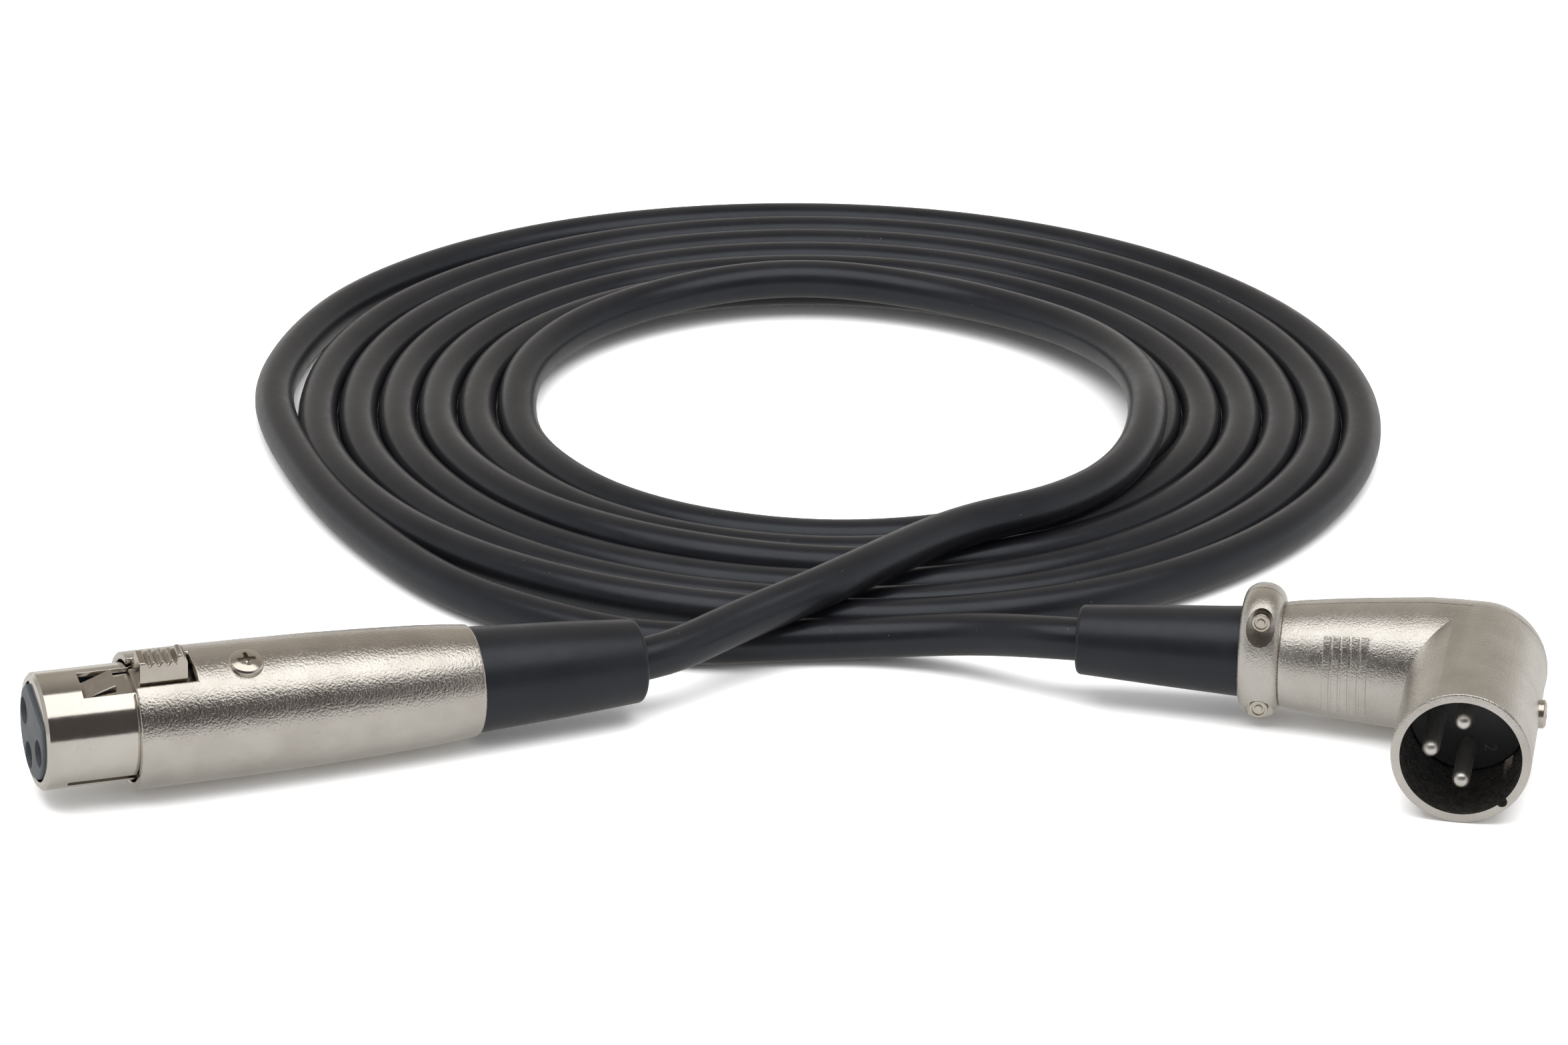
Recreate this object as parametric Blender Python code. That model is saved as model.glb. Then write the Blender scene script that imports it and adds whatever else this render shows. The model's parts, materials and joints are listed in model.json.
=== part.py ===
"""Microphone cable, coiled flat, with a straight female connector and a right-angled male one.

Lengths are in millimetres and are turned into metres by MM. The floor is z = 0, +X runs along the two
connectors and +Y points from them to the coil. Each connector is built in a frame of its own:
  female: +X out of the mating face, from the barrel's front rim, with the latch at +Z
  male:   +X along the cable into the elbow, from the elbow's corner, with the shell's mouth towards -Y
"""

import math

import bmesh
import bpy
from mathutils import Euler, Matrix, Vector

MM = 0.001
GAP = 0.3                                   # clearance between pieces that touch
SIDES = 40                                  # facets round the large turned pieces
SMALL_SIDES = 16                            # facets round pins, contacts and screws

# the cable and the two conductor layouts
CABLE_R = 3.0
WIRE_R = 0.6
POLE_CIRCLE_R = 4.2                         # contacts and pins stand on this circle
POLE_PIN_R = 1.2

# the coil
COIL_CENTRE = (5.3, 117.5)
COIL_IN_R = 52.4
COIL_OUT_R = 84.0
COIL_EDGE_R = 2.0

# the female connector
FEMALE_ORIGIN = (-88.5, -12.2, 9.6)
FEMALE_TURN = (-20.0, -1.4, 200.3)          # degrees about X, Y and Z: the latch leans to the front
BARREL_R = 9.25
BARREL_REAR_X = -48.1
BARREL_REAR_R = 7.45
BARREL_BORE_R = 8.2
SLEEVE_R = 7.9
SLEEVE_BORE_R = 7.2
SLEEVE_FRONT_X = 12.4
SLEEVE_REAR_X = -18.5
SLEEVE_LIP_X = 11.6                         # the back of the sleeve's inward lip
SLEEVE_LIP_R = 6.75
SLOT_FRONT_X = 6.7                          # the sleeve's slot for the latch
SLOT_HALF_WIDTH = 2.35
SLIT_ANGLE = 118.0                          # degrees from the latch
INSERT_R = 6.9
INSERT_FACE_R = 6.4
INSERT_FACE_X = 12.8
INSERT_FLAT_Z = 4.5                         # the raised face is flat on the latch's side
FEMALE_BOOT_REAR_X = -71.9
FEMALE_SCREW = (-15.5, 1.0)                 # x and y
GRIP_REAR_X = -41.5
GRIP_FRONT_X = -33.3

# the latch of the female connector
LATCH_PIVOT = (-9.5, 5.0)                   # x and z of the pin
LATCH_PIN_R = 0.5
LATCH_FLOOR_Z = 3.2                         # floor of the insert's channel under the lever
LATCH_HALF_WIDTH = 2.0
BUTTON_HALF_WIDTH = 2.3
BUTTON_CREST_HALF_WIDTH = 1.35
BUTTON_X = (-7.3, -0.7)
BUTTON_SHOULDER_Z = 8.9                     # the sides lean inwards from here
BUTTON_TOP_Z = 11.5
BUTTON_REAR_Z = 12.1
BUTTON_GROOVES = 4
FIRST_GROOVE_X = -5.83
GROOVE_PITCH = 1.25
GROOVE_DEPTH = 0.5

# the male connector
MALE_ORIGIN = (93.55, 9.45, 9.3)
MALE_TURN = (0.0, -0.6, -10.3)
ELBOW_R = 9.3
SHELL_LENGTH = 29.5
SHELL_BORE_R = 8.1
SHELL_CAVITY_DEPTH = 14.0
BODY_END_X = -26.7
BODY_END_R = 7.2
BODY_BORE_R = 5.8
ELBOW_ROOM_R = 6.8
NECK_R = 6.5
MALE_INSERT_REAR_Y = -7.5
MALE_PIN_TIP_Y = -27.8
KEYWAY_ANGLE = -46.0                        # degrees from +X about the shell
CLAMP_X = (-32.3, -27.0)
CLAMP_HALF_DEPTH = 7.6
CLAMP_HALF_HEIGHT = 9.3
CLAMP_RISE = 0.45                           # the clamp's middle above the cable's axis
CLAMP_SCREW_X = -29.3
CLAMP_SCREW_Z = (6.7, -6.1)                 # the upper and the lower screw
MALE_BOOT_FRONT_X = -32.6
MALE_BOOT_REAR_X = -54.9
MALE_NECK_R = 4.5
MALE_NECK_END_X = -27.5
INSERT_SCREW_Y = -13.3

# the cable's way from the female boot over the coil and down to its innermost turn
FEMALE_LEAD = [
    (-12.3, 20.0, 8.1), (-7.0, 24.7, 8.7), (2.3, 32.0, 9.7), (11.8, 42.0, 10.1),
    (20.8, 52.3, 10.0), (28.5, 59.0, 9.8), (36.3, 63.5, 9.6), (45.4, 74.3, 9.4), (51.2, 87.3, 9.35),
    (53.4, 101.9, 9.3), (53.4, 112.3, 8.6), (52.1, 123.3, 7.7), (49.1, 134.1, 6.95), (43.7, 143.9, 6.3),
    (37.5, 151.2, 5.8), (29.4, 157.5, 5.6), (20.6, 161.9, 5.65), (11.4, 164.8, 6.0), (1.0, 165.6, 6.3),
    (-9.4, 163.9, 6.05), (-19.1, 159.8, 5.5), (-27.5, 153.8, 5.1), (-33.6, 147.1, 4.75),
    (-38.5, 138.8, 4.3), (-41.3, 130.2, 3.9), (-42.3, 117.8, 3.3), (-39.1, 99.9, 3.1), (-30.1, 84.2, 3.1),
]
# the cable's way from the coil's outermost turn to the male boot
MALE_LEAD = [
    (-47.2, 46.3, 3.1), (-31.5, 34.8, 3.1), (-13.9, 29.0, 3.1), (-6.2, 29.0, 3.1), (1.2, 29.7, 3.1),
    (10.5, 29.7, 3.3), (19.8, 28.2, 5.0), (27.1, 25.2, 6.7),
]
LEAD_STEP = 13.0                            # spacing of the tube's points
LEAD_STRAIGHT = 3.0                         # the cable leaves a boot straight for this far

FINISHES = {
    "satin_nickel": ((0.62, 0.60, 0.57), 0.42, 1.0),
    "polished_nickel": ((0.72, 0.70, 0.67), 0.16, 1.0),
    "spring_steel": ((0.55, 0.54, 0.52), 0.3, 1.0),
    "contact_metal": ((0.78, 0.76, 0.72), 0.22, 1.0),
    "insert_plastic": ((0.045, 0.045, 0.05), 0.5, 0.0),
    "boot_rubber": ((0.022, 0.022, 0.025), 0.62, 0.0),
    "cable_jacket": ((0.02, 0.02, 0.022), 0.5, 0.0),
    "wire_red": ((0.45, 0.03, 0.03), 0.5, 0.0),
    "wire_white": ((0.7, 0.7, 0.68), 0.5, 0.0),
    "wire_bare": ((0.62, 0.33, 0.18), 0.35, 1.0),
}


def clear_scene():
    for item in list(bpy.data.objects):
        bpy.data.objects.remove(item, do_unlink=True)


def make_materials():
    made = {}
    for name, (colour, roughness, metallic) in FINISHES.items():
        material = bpy.data.materials.new(name)
        material.use_nodes = True
        shader = material.node_tree.nodes["Principled BSDF"]
        shader.inputs["Base Color"].default_value = (*colour, 1.0)
        shader.inputs["Roughness"].default_value = roughness
        shader.inputs["Metallic"].default_value = metallic
        made[name] = material
    return made


# ---------------------------------------------------------------- shapes

def turned(outline, sides=SIDES, axis="X"):
    """A body turned about an axis from (place along it, radius) points; a radius of 0 is on the axis."""
    bm = bmesh.new()
    rings = []
    for place, radius in outline:
        if radius == 0:
            rings.append([bm.verts.new((place * MM, 0, 0))])
            continue
        angles = [2 * math.pi * k / sides for k in range(sides)]
        ring = [(place * MM, radius * MM * math.cos(a), radius * MM * math.sin(a)) for a in angles]
        rings.append([bm.verts.new(point) for point in ring])
    solid = outline[0][1] == 0
    following = rings[1:] if solid else rings[1:] + rings[:1]
    for low, high in zip(rings, following):
        for k in range(sides):
            n = (k + 1) % sides
            corners = [low[k % len(low)], low[n % len(low)], high[n % len(high)], high[k % len(high)]]
            corners = list(dict.fromkeys(corners))
            if len(corners) > 2:
                bm.faces.new(corners)
    turns = {"X": Matrix(), "Y": Matrix.Rotation(math.pi / 2, 4, "Z"),
             "Z": Matrix.Rotation(-math.pi / 2, 4, "Y")}
    bm.transform(turns[axis])
    bmesh.ops.recalc_face_normals(bm, faces=bm.faces)
    return bm


def block(x, y, z):
    """A box from its (low, high) spans."""
    bm = bmesh.new()
    bmesh.ops.create_cube(bm, size=1.0)
    spans = (x, y, z)
    for vert in bm.verts:
        vert.co = [(low + (high - low) * (side + 0.5)) * MM for side, (low, high) in zip(vert.co, spans)]
    return bm


def plate(outline, half_width):
    """An (x, z) outline made solid from -half_width to +half_width along Y."""
    bm = bmesh.new()
    face = bm.faces.new([bm.verts.new((x * MM, -half_width * MM, z * MM)) for x, z in outline])
    grown = bmesh.ops.extrude_face_region(bm, geom=[face])
    moved = [item for item in grown["geom"] if isinstance(item, bmesh.types.BMVert)]
    bmesh.ops.translate(bm, verts=moved, vec=(0, 2 * half_width * MM, 0))
    bmesh.ops.recalc_face_normals(bm, faces=bm.faces)
    return bm


def moved(bm, offset):
    bmesh.ops.translate(bm, verts=bm.verts, vec=Vector(offset) * MM)
    return bm


def bar(start, end, radius, axis, at, sides=SMALL_SIDES):
    """A round bar along an axis, centred at the point at."""
    return moved(turned([(start, 0), (start, radius), (end, radius), (end, 0)], sides, axis), at)


# ---------------------------------------------------------------- objects

def frame(name, location, rotation, parent=None):
    """An empty that holds a connector, or a pivot, in its place."""
    holder = bpy.data.objects.new(name, None)
    bpy.context.scene.collection.objects.link(holder)
    holder.location = Vector(location) * MM
    holder.rotation_euler = Euler([math.radians(angle) for angle in rotation])
    holder.parent = parent
    return holder


def piece(name, bm, material=None, parent=None):
    mesh = bpy.data.meshes.new(name)
    bm.to_mesh(mesh)
    bm.free()
    thing = bpy.data.objects.new(name, mesh)
    bpy.context.scene.collection.objects.link(thing)
    thing.parent = parent
    if material:
        mesh.materials.append(material)
    mesh.shade_smooth()
    mesh.set_sharp_from_angle(angle=math.radians(35))
    return thing


def shape(thing, operation, *tools):
    """Cuts, joins or keeps a piece with other bodies and bakes the result into its mesh."""
    for tool_bm in tools:
        tool = piece("tool", tool_bm, parent=thing.parent)
        step = thing.modifiers.new(operation, "BOOLEAN")
        step.operation = operation
        step.solver = "EXACT"
        step.object = tool
        bpy.context.view_layer.update()
        result = thing.evaluated_get(bpy.context.evaluated_depsgraph_get())
        mesh = bpy.data.meshes.new_from_object(result)
        mesh.name = thing.name
        thing.modifiers.clear()
        thing.data = mesh
        bpy.data.objects.remove(tool, do_unlink=True)
    thing.data.shade_smooth()
    thing.data.set_sharp_from_angle(angle=math.radians(35))
    return thing


def smooth_route(points, step):
    """Evenly spaced points on a Catmull-Rom curve through the given ones."""
    knots = [Vector(point) for point in points]
    knots = [2 * knots[0] - knots[1], *knots, 2 * knots[-1] - knots[-2]]
    fine = []
    for a, b, c, d in zip(knots, knots[1:], knots[2:], knots[3:]):
        for k in range(12):
            u = k / 12
            fine.append(0.5 * (2 * b + (c - a) * u + (2 * a - 5 * b + 4 * c - d) * u ** 2
                               + (3 * b - a - 3 * c + d) * u ** 3))
    fine.append(knots[-2])
    length = sum((q - p).length for p, q in zip(fine, fine[1:]))
    count = max(2, round(length / step))
    chosen, travelled, target = [fine[0]], 0.0, length / count
    for p, q in zip(fine, fine[1:]):
        span = (q - p).length
        while travelled + span >= target - 1e-9 and len(chosen) < count:
            chosen.append(p.lerp(q, (target - travelled) / span))
            target += length / count
        travelled += span
    return [*chosen, fine[-1]]


def tube(name, points, radius, material, parent=None):
    """A round tube with closed ends along straight steps between the points."""
    curve = bpy.data.curves.new(name, "CURVE")
    curve.dimensions = "3D"
    curve.bevel_depth = radius * MM
    curve.bevel_resolution = 2
    curve.use_fill_caps = True
    spline = curve.splines.new("POLY")
    spline.points.add(len(points) - 1)
    for slot, point in zip(spline.points, points):
        slot.co = (*(Vector(point) * MM), 1.0)
    curve.materials.append(material)
    thing = bpy.data.objects.new(name, curve)
    bpy.context.scene.collection.objects.link(thing)
    thing.parent = parent
    return thing


# ---------------------------------------------------------------- cable

def build_cable(materials):
    top = 2 * CABLE_R
    edge = COIL_EDGE_R
    corners = [(0, COIL_IN_R + edge / 2), (edge / 2, COIL_IN_R), (top - edge, COIL_IN_R),
               (top - edge * 0.3, COIL_IN_R + edge * 0.3), (top, COIL_IN_R + edge),
               (top, COIL_OUT_R - edge), (top - edge * 0.3, COIL_OUT_R - edge * 0.3), (top - edge, COIL_OUT_R),
               (edge / 2, COIL_OUT_R), (0, COIL_OUT_R - edge / 2)]
    coil = piece("cable_coil", turned(corners, 64, "Z"), materials["cable_jacket"])
    coil.location = (COIL_CENTRE[0] * MM, COIL_CENTRE[1] * MM, 0)

    exits = [[local_point(origin, turn, rear - GAP - further) for further in (0, LEAD_STRAIGHT)]
             for origin, turn, rear in ((FEMALE_ORIGIN, FEMALE_TURN, FEMALE_BOOT_REAR_X),
                                        (MALE_ORIGIN, MALE_TURN, MALE_BOOT_REAR_X))]
    female_way = [exits[0][0], *smooth_route([exits[0][1], *FEMALE_LEAD], LEAD_STEP)]
    male_way = [*smooth_route([*MALE_LEAD, exits[1][1]], LEAD_STEP), exits[1][0]]
    tube("cable_lead_female", female_way, CABLE_R, materials["cable_jacket"])
    tube("cable_lead_male", male_way, CABLE_R, materials["cable_jacket"])


def local_point(origin, turn, x):
    """Where a place on a connector's own cable axis lies in the room."""
    rotation = Euler([math.radians(angle) for angle in turn])
    return Vector(origin) + rotation.to_matrix() @ Vector((x, 0, 0))


# ---------------------------------------------------------------- female connector

def build_female(materials):
    holder = frame("female_connector", FEMALE_ORIGIN, FEMALE_TURN)
    build_barrel(materials, holder)
    build_sleeve(materials, holder)
    build_female_insert(materials, holder)
    build_latch(materials, holder)
    build_female_screw(materials, holder)
    build_female_tail(materials, holder)


def build_barrel(materials, holder):
    rear = BARREL_REAR_X
    outside = [(rear, 6.5), (rear, BARREL_REAR_R - 0.2), (rear + 0.3, BARREL_REAR_R), (-45.0, 7.9),
               (-41.0, 8.2), (-33.8, 8.65), (-25.7, 8.97), (-16.5, 9.17), (-8.4, BARREL_R),
               (-0.4, BARREL_R), (0.0, BARREL_R - 0.4)]
    bore = [(0.0, BARREL_BORE_R), (-19.0, BARREL_BORE_R), (-19.0, 7.4), (-32.0, 7.4), (-38.0, 6.5)]
    barrel = piece("female_shell", turned(outside + bore), materials["satin_nickel"], holder)
    opening = BUTTON_HALF_WIDTH + GAP
    shape(barrel, "DIFFERENCE",
          block((-8.45, 1.0), (-opening, opening), (6.0, 11.0)),
          bar(6.5, 11.0, 1.6, "Z", (*FEMALE_SCREW, 0)),
          bar(8.75, 11.0, 2.65, "Z", (*FEMALE_SCREW, 0)))


def build_sleeve(materials, holder):
    front = SLEEVE_FRONT_X
    outline = [(SLEEVE_REAR_X, SLEEVE_BORE_R), (SLEEVE_REAR_X, SLEEVE_R), (front - 0.4, SLEEVE_R),
               (front - 0.1, SLEEVE_R - 0.25), (front, SLEEVE_R - 0.5), (front, 0), (SLEEVE_LIP_X, 0),
               (SLEEVE_LIP_X, SLEEVE_BORE_R)]
    sleeve = piece("female_sleeve", turned(outline), materials["polished_nickel"], holder)
    opening = BUTTON_HALF_WIDTH + GAP
    slit = block((1.0, 9.2), (-0.55, 0.55), (6.0, 9.0))
    slit.transform(Matrix.Rotation(math.radians(-SLIT_ANGLE), 4, "X"))
    shape(sleeve, "DIFFERENCE",
          flatted_rod(SLEEVE_LIP_X - 1, front + 1, SLEEVE_LIP_R, INSERT_FLAT_Z + GAP),
          block((-11.0, -0.5), (-opening, opening), (5.0, 9.0)),
          block((-1.0, SLOT_FRONT_X), (-SLOT_HALF_WIDTH, SLOT_HALF_WIDTH), (5.0, 9.0)),
          bar(5.0, 9.0, 1.6, "Z", (*FEMALE_SCREW, 0)),
          slit)


def flatted_rod(start, end, radius, flat):
    """A round rod along X with a flat on top."""
    side = math.acos(flat / radius)
    angles = [side + (2 * math.pi - 2 * side) * k / SIDES for k in range(SIDES + 1)]
    rod = plate([(radius * math.sin(a), radius * math.cos(a)) for a in angles], (end - start) / 2)
    rod.transform(Matrix.Rotation(math.pi / 2, 4, "Z"))
    return moved(rod, ((start + end) / 2, 0, 0))


def pole_places():
    """Across and up places of the three contacts: two at the sides and one at the bottom."""
    return [(POLE_CIRCLE_R, 0), (-POLE_CIRCLE_R, 0), (0, -POLE_CIRCLE_R)]


def build_female_insert(materials, holder):
    step = SLEEVE_LIP_X - GAP
    outline = [(SLEEVE_REAR_X, 0), (SLEEVE_REAR_X, INSERT_R), (step, INSERT_R), (step, INSERT_FACE_R),
               (INSERT_FACE_X - 0.2, INSERT_FACE_R), (INSERT_FACE_X, INSERT_FACE_R - 0.2),
               (INSERT_FACE_X, 0)]
    insert = piece("female_insert", turned(outline), materials["insert_plastic"], holder)
    contact_r = POLE_PIN_R + 0.35
    bores = [bar(-20.0, 16.0, contact_r + GAP, "X", (0, y, z)) for y, z in pole_places()]
    shape(insert, "DIFFERENCE",
          block((-12.6, 9.2), (-3.1, 3.1), (LATCH_FLOOR_Z, 8.0)),
          block((step - 0.1, 14.0), (-8.0, 8.0), (INSERT_FLAT_Z, 8.0)),
          bar(3.4, 8.0, 1.6, "Z", (*FEMALE_SCREW, 0)),
          bar(-4.2, 4.2, LATCH_PIN_R + GAP, "Y", (LATCH_PIVOT[0], 0, LATCH_PIVOT[1])),
          *bores)
    mouth_r = POLE_PIN_R + 0.05
    mouth_x = INSERT_FACE_X - 1.0
    contact = [(-20.5, 0), (-20.5, contact_r), (mouth_x, contact_r), (mouth_x, mouth_r), (1.0, mouth_r),
               (1.0, 0)]
    for number, (y, z) in enumerate(pole_places(), 1):
        piece(f"socket_contact_{number}", moved(turned(contact, SMALL_SIDES), (0, y, z)),
              materials["contact_metal"], holder)


def build_latch(materials, holder):
    x0, z0 = LATCH_PIVOT
    to_pivot = (-x0, 0, -z0)
    pivot = frame("latch_pivot", (x0, 0, z0), (0, 0, 0), holder)
    lever = piece("latch_lever", moved(plate(crown_outline(), BUTTON_HALF_WIDTH), to_pivot),
                  materials["polished_nickel"], pivot)
    shape(lever, "INTERSECT", moved(leaning_sides(), to_pivot))
    arm = [(x0 - 1.2, 4.1), (x0 + 1.2, 4.1), (7.2, 5.1), (7.2, 5.9), (6.7, 6.25), (2.5, 8.25), (2.2, 8.25),
           (1.95, 6.8), (x0 - 1.2, 6.7)]
    shape(lever, "UNION", moved(plate(arm, LATCH_HALF_WIDTH), to_pivot))
    shape(lever, "DIFFERENCE", bar(-3.5, 3.5, LATCH_PIN_R + 0.1, "Y", (0, 0, 0)))
    piece("latch_pin", bar(-3.9, 3.9, LATCH_PIN_R, "Y", (x0, 0, z0)), materials["spring_steel"], holder)
    leaf = [(-12.3, 3.45), (-7.0, 3.45), (-4.6, 3.75), (-4.7, 3.95), (-7.1, 3.7), (-12.3, 3.7)]
    piece("latch_spring", plate(leaf, 1.8), materials["spring_steel"], holder)


def crown_outline():
    """The push button's outline from the side: grooves across its top, behind them a higher rear crest."""
    low, high = BUTTON_X
    top = BUTTON_TOP_Z
    crown = [(high, 6.2), (low, 6.2), (low + 0.35, BUTTON_REAR_Z), (FIRST_GROOVE_X - 0.4, BUTTON_REAR_Z)]
    for k in range(BUTTON_GROOVES):
        x = FIRST_GROOVE_X + k * GROOVE_PITCH
        floor = top - GROOVE_DEPTH
        crown += [(x - 0.15, floor), (x + 0.15, floor), (x + 0.5, top), (x + 0.75, top)]
    return [*crown, (high - 0.2, top - 0.2), (high, BUTTON_SHOULDER_Z)]


def leaning_sides():
    """A bar along X, wider than the button at its foot, whose sides lean inwards above the shoulder."""
    lean = (BUTTON_HALF_WIDTH - BUTTON_CREST_HALF_WIDTH) / (BUTTON_TOP_Z - BUTTON_SHOULDER_Z)
    spare = 0.2
    foot = BUTTON_HALF_WIDTH + spare
    shoulder = BUTTON_SHOULDER_Z - spare / lean
    ridge = BUTTON_REAR_Z + 1
    crest = BUTTON_HALF_WIDTH - lean * (ridge - BUTTON_SHOULDER_Z)
    bar_along_y = plate([(-foot, 5.0), (foot, 5.0), (foot, shoulder), (crest, ridge), (-crest, ridge),
                         (-foot, shoulder)], 10.0)
    bar_along_y.transform(Matrix.Rotation(math.pi / 2, 4, "Z"))
    return bar_along_y


def build_female_screw(materials, holder):
    head = [(4.0, 0), (4.0, 1.3), (8.8, 1.3), (8.8, 2.35), (9.35, 2.35), (9.7, 1.8), (9.85, 0)]
    screw = piece("female_shell_screw", moved(turned(head, 24, "Z"), (*FEMALE_SCREW, 0)),
                  materials["polished_nickel"], holder)
    x, y = FEMALE_SCREW
    shape(screw, "DIFFERENCE",
          block((x - 1.3, x + 1.3), (y - 0.3, y + 0.3), (9.1, 11.0)),
          block((x - 0.3, x + 0.3), (y - 1.3, y + 1.3), (9.1, 11.0)))


def build_female_tail(materials, holder):
    rear = FEMALE_BOOT_REAR_X
    neck_front = GRIP_REAR_X - 0.5
    boot = [(rear, CABLE_R + GAP), (rear, 4.9), (rear + 0.4, 5.45), (rear + 1.1, 5.75),
            (BARREL_REAR_X - GAP, 7.35), (BARREL_REAR_X - GAP, 6.1), (neck_front, 6.1),
            (neck_front, CABLE_R + GAP)]
    piece("female_boot", turned(boot), materials["boot_rubber"], holder)
    grip = [(GRIP_REAR_X, CABLE_R + GAP), (GRIP_REAR_X, 5.4), (GRIP_REAR_X + 1.2, 6.1), (-38.4, 6.1),
            (-36.5, 6.4), (GRIP_FRONT_X, 6.4), (GRIP_FRONT_X, CABLE_R + GAP)]
    piece("female_cable_grip", turned(grip), materials["insert_plastic"], holder)
    piece("female_cable_tail", bar(rear, -32.0, CABLE_R, "X", (0, 0, 0), 24),
          materials["cable_jacket"], holder)
    starts = [(1.5, 0.3), (-1.5, 0.3), (0, -1.5)]
    names = (("female_wire_hot", "wire_red"), ("female_wire_cold", "wire_white"),
             ("female_wire_shield", "wire_bare"))
    for (name, finish), (y0, z0), (y1, z1) in zip(names, starts, pole_places()):
        way = [(-32.0 + GAP, y0, z0), (-29.5, y0, z0), (-25.0, (y0 + y1) / 2, (z0 + z1) / 2),
               (-22.5, y1, z1), (-20.5 - GAP, y1, z1)]
        tube(name, way, WIRE_R, materials[finish], holder)


# ---------------------------------------------------------------- male connector

def build_male(materials):
    holder = frame("male_connector", MALE_ORIGIN, MALE_TURN)
    build_housing(materials, holder)
    build_male_insert(materials, holder)
    build_clamp(materials, holder)
    build_male_tail(materials, holder)


def elbow_outline():
    """The casting's outline along the cable: a widening body that ends in a ball at the elbow."""
    ball_r = ELBOW_R - 0.15
    body = [(BODY_END_X, 0), (BODY_END_X, BODY_END_R - 0.3), (BODY_END_X + 0.4, BODY_END_R), (-24.3, 7.6),
            (-20.0, 8.1), (-15.5, 8.55), (-12.0, 8.85), (-6.8, ball_r), (0.0, ball_r)]
    return [*body, *ball_outline(ball_r, 1), (ball_r, 0)]


def ball_outline(radius, first):
    """Points of a ball's outline, 15 degrees apart, from the numbered one to the one before the pole."""
    angles = [math.radians(15 * k) for k in range(first, 6)]
    return [(radius * math.sin(a), radius * math.cos(a)) for a in angles]


def hollow_tools():
    """Cutters for the room inside the casting: a bore along the cable and a ball in the elbow."""
    bore = [(-60.0, 0), (-60.0, BODY_BORE_R), (0.0, BODY_BORE_R), (0.0, 0)]
    ball = [(-ELBOW_ROOM_R, 0), *ball_outline(ELBOW_ROOM_R, -5), (ELBOW_ROOM_R, 0)]
    return [turned(bore), turned(ball)]


def build_housing(materials, holder):
    metal = materials["satin_nickel"]
    mouth = -SHELL_LENGTH
    shell = [(mouth, 0), (mouth, ELBOW_R - 0.3), (mouth + 0.3, ELBOW_R), (0.0, ELBOW_R), (0.0, 0)]
    bore_end = MALE_INSERT_REAR_Y + GAP
    bores = [bar(mouth - 2, bore_end, SHELL_BORE_R, "Y", (0, 0, 0), SIDES),
             bar(bore_end - 1, 0.0, NECK_R, "Y", (0, 0, 0), SIDES)]
    keyway = math.radians(KEYWAY_ANGLE)
    groove_at = (SHELL_BORE_R * math.cos(keyway), 0, SHELL_BORE_R * math.sin(keyway))
    split = 0.15
    housing = piece("male_housing", turned(elbow_outline()), metal, holder)
    shape(housing, "UNION", turned(shell, axis="Y"))
    shape(housing, "DIFFERENCE", *hollow_tools(), *bores,
          bar(mouth - 3, mouth + SHELL_CAVITY_DEPTH - 2, 0.6, "Y", groove_at, 12),
          bar(5.0, 12.0, 1.6, "X", (0, INSERT_SCREW_Y, 0)),
          block((-60, 20), (-split, 20), (-20, 20)))
    cover = piece("male_back_cover", turned(elbow_outline()), metal, holder)
    shape(cover, "DIFFERENCE", *hollow_tools(), block((-60, 20), (-20, split), (-20, 20)))
    rim = ELBOW_R + GAP
    head = [(7.0, 0), (7.0, 1.3), (rim, 1.3), (rim, 1.95), (rim + 0.3, 1.95), (rim + 0.5, 1.5), (rim + 0.6, 0)]
    y = INSERT_SCREW_Y
    screw = piece("insert_screw", moved(turned(head, 20), (0, y, 0)), materials["polished_nickel"], holder)
    shape(screw, "DIFFERENCE", block((rim + 0.25, 12.0), (y - 1.2, y + 1.2), (-0.25, 0.25)))


def build_male_insert(materials, holder):
    face = -SHELL_LENGTH + SHELL_CAVITY_DEPTH
    radius = SHELL_BORE_R - GAP
    outline = [(face, 0), (face, radius - 0.3), (face + 0.3, radius), (MALE_INSERT_REAR_Y, radius),
               (MALE_INSERT_REAR_Y, 0)]
    insert = piece("male_insert", turned(outline, axis="Y"), materials["insert_plastic"], holder)
    places = [(0, POLE_CIRCLE_R), (0, -POLE_CIRCLE_R), (-POLE_CIRCLE_R, 0)]
    holes = [bar(face - 1, 0, POLE_PIN_R + GAP, "Y", (x, 0, z)) for x, z in places]
    shape(insert, "DIFFERENCE", *holes, bar(6.4, 12.0, 1.6, "X", (0, INSERT_SCREW_Y, 0)))
    tip = MALE_PIN_TIP_Y
    pin = [(tip, 0), (tip + 0.1, 0.5), (tip + 0.5, 1.0), (tip + 1.1, POLE_PIN_R), (-5.0, POLE_PIN_R),
           (-5.0, 0)]
    for number, (x, z) in enumerate(places, 1):
        piece(f"contact_pin_{number}", moved(turned(pin, SMALL_SIDES, "Y"), (x, 0, z)),
              materials["contact_metal"], holder)
    starts = [(0.3, 1.5), (0.3, -1.5), (1.5, 0)]
    names = (("male_wire_hot", "wire_red"), ("male_wire_cold", "wire_white"),
             ("male_wire_shield", "wire_bare"))
    for (name, finish), (y0, z0), (x1, z1) in zip(names, starts, places):
        way = [(-24.0 + GAP, y0, z0), (-18.0, y0, z0), (x1 - 6.5, y0 * 1.5, z1 * 0.8), (x1 - 2.2, 0.4, z1),
               (x1 - 0.3, -1.4, z1), (x1, -3.2, z1), (x1, -5.0 + GAP, z1)]
        tube(name, way, WIRE_R, materials[finish], holder)


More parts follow.
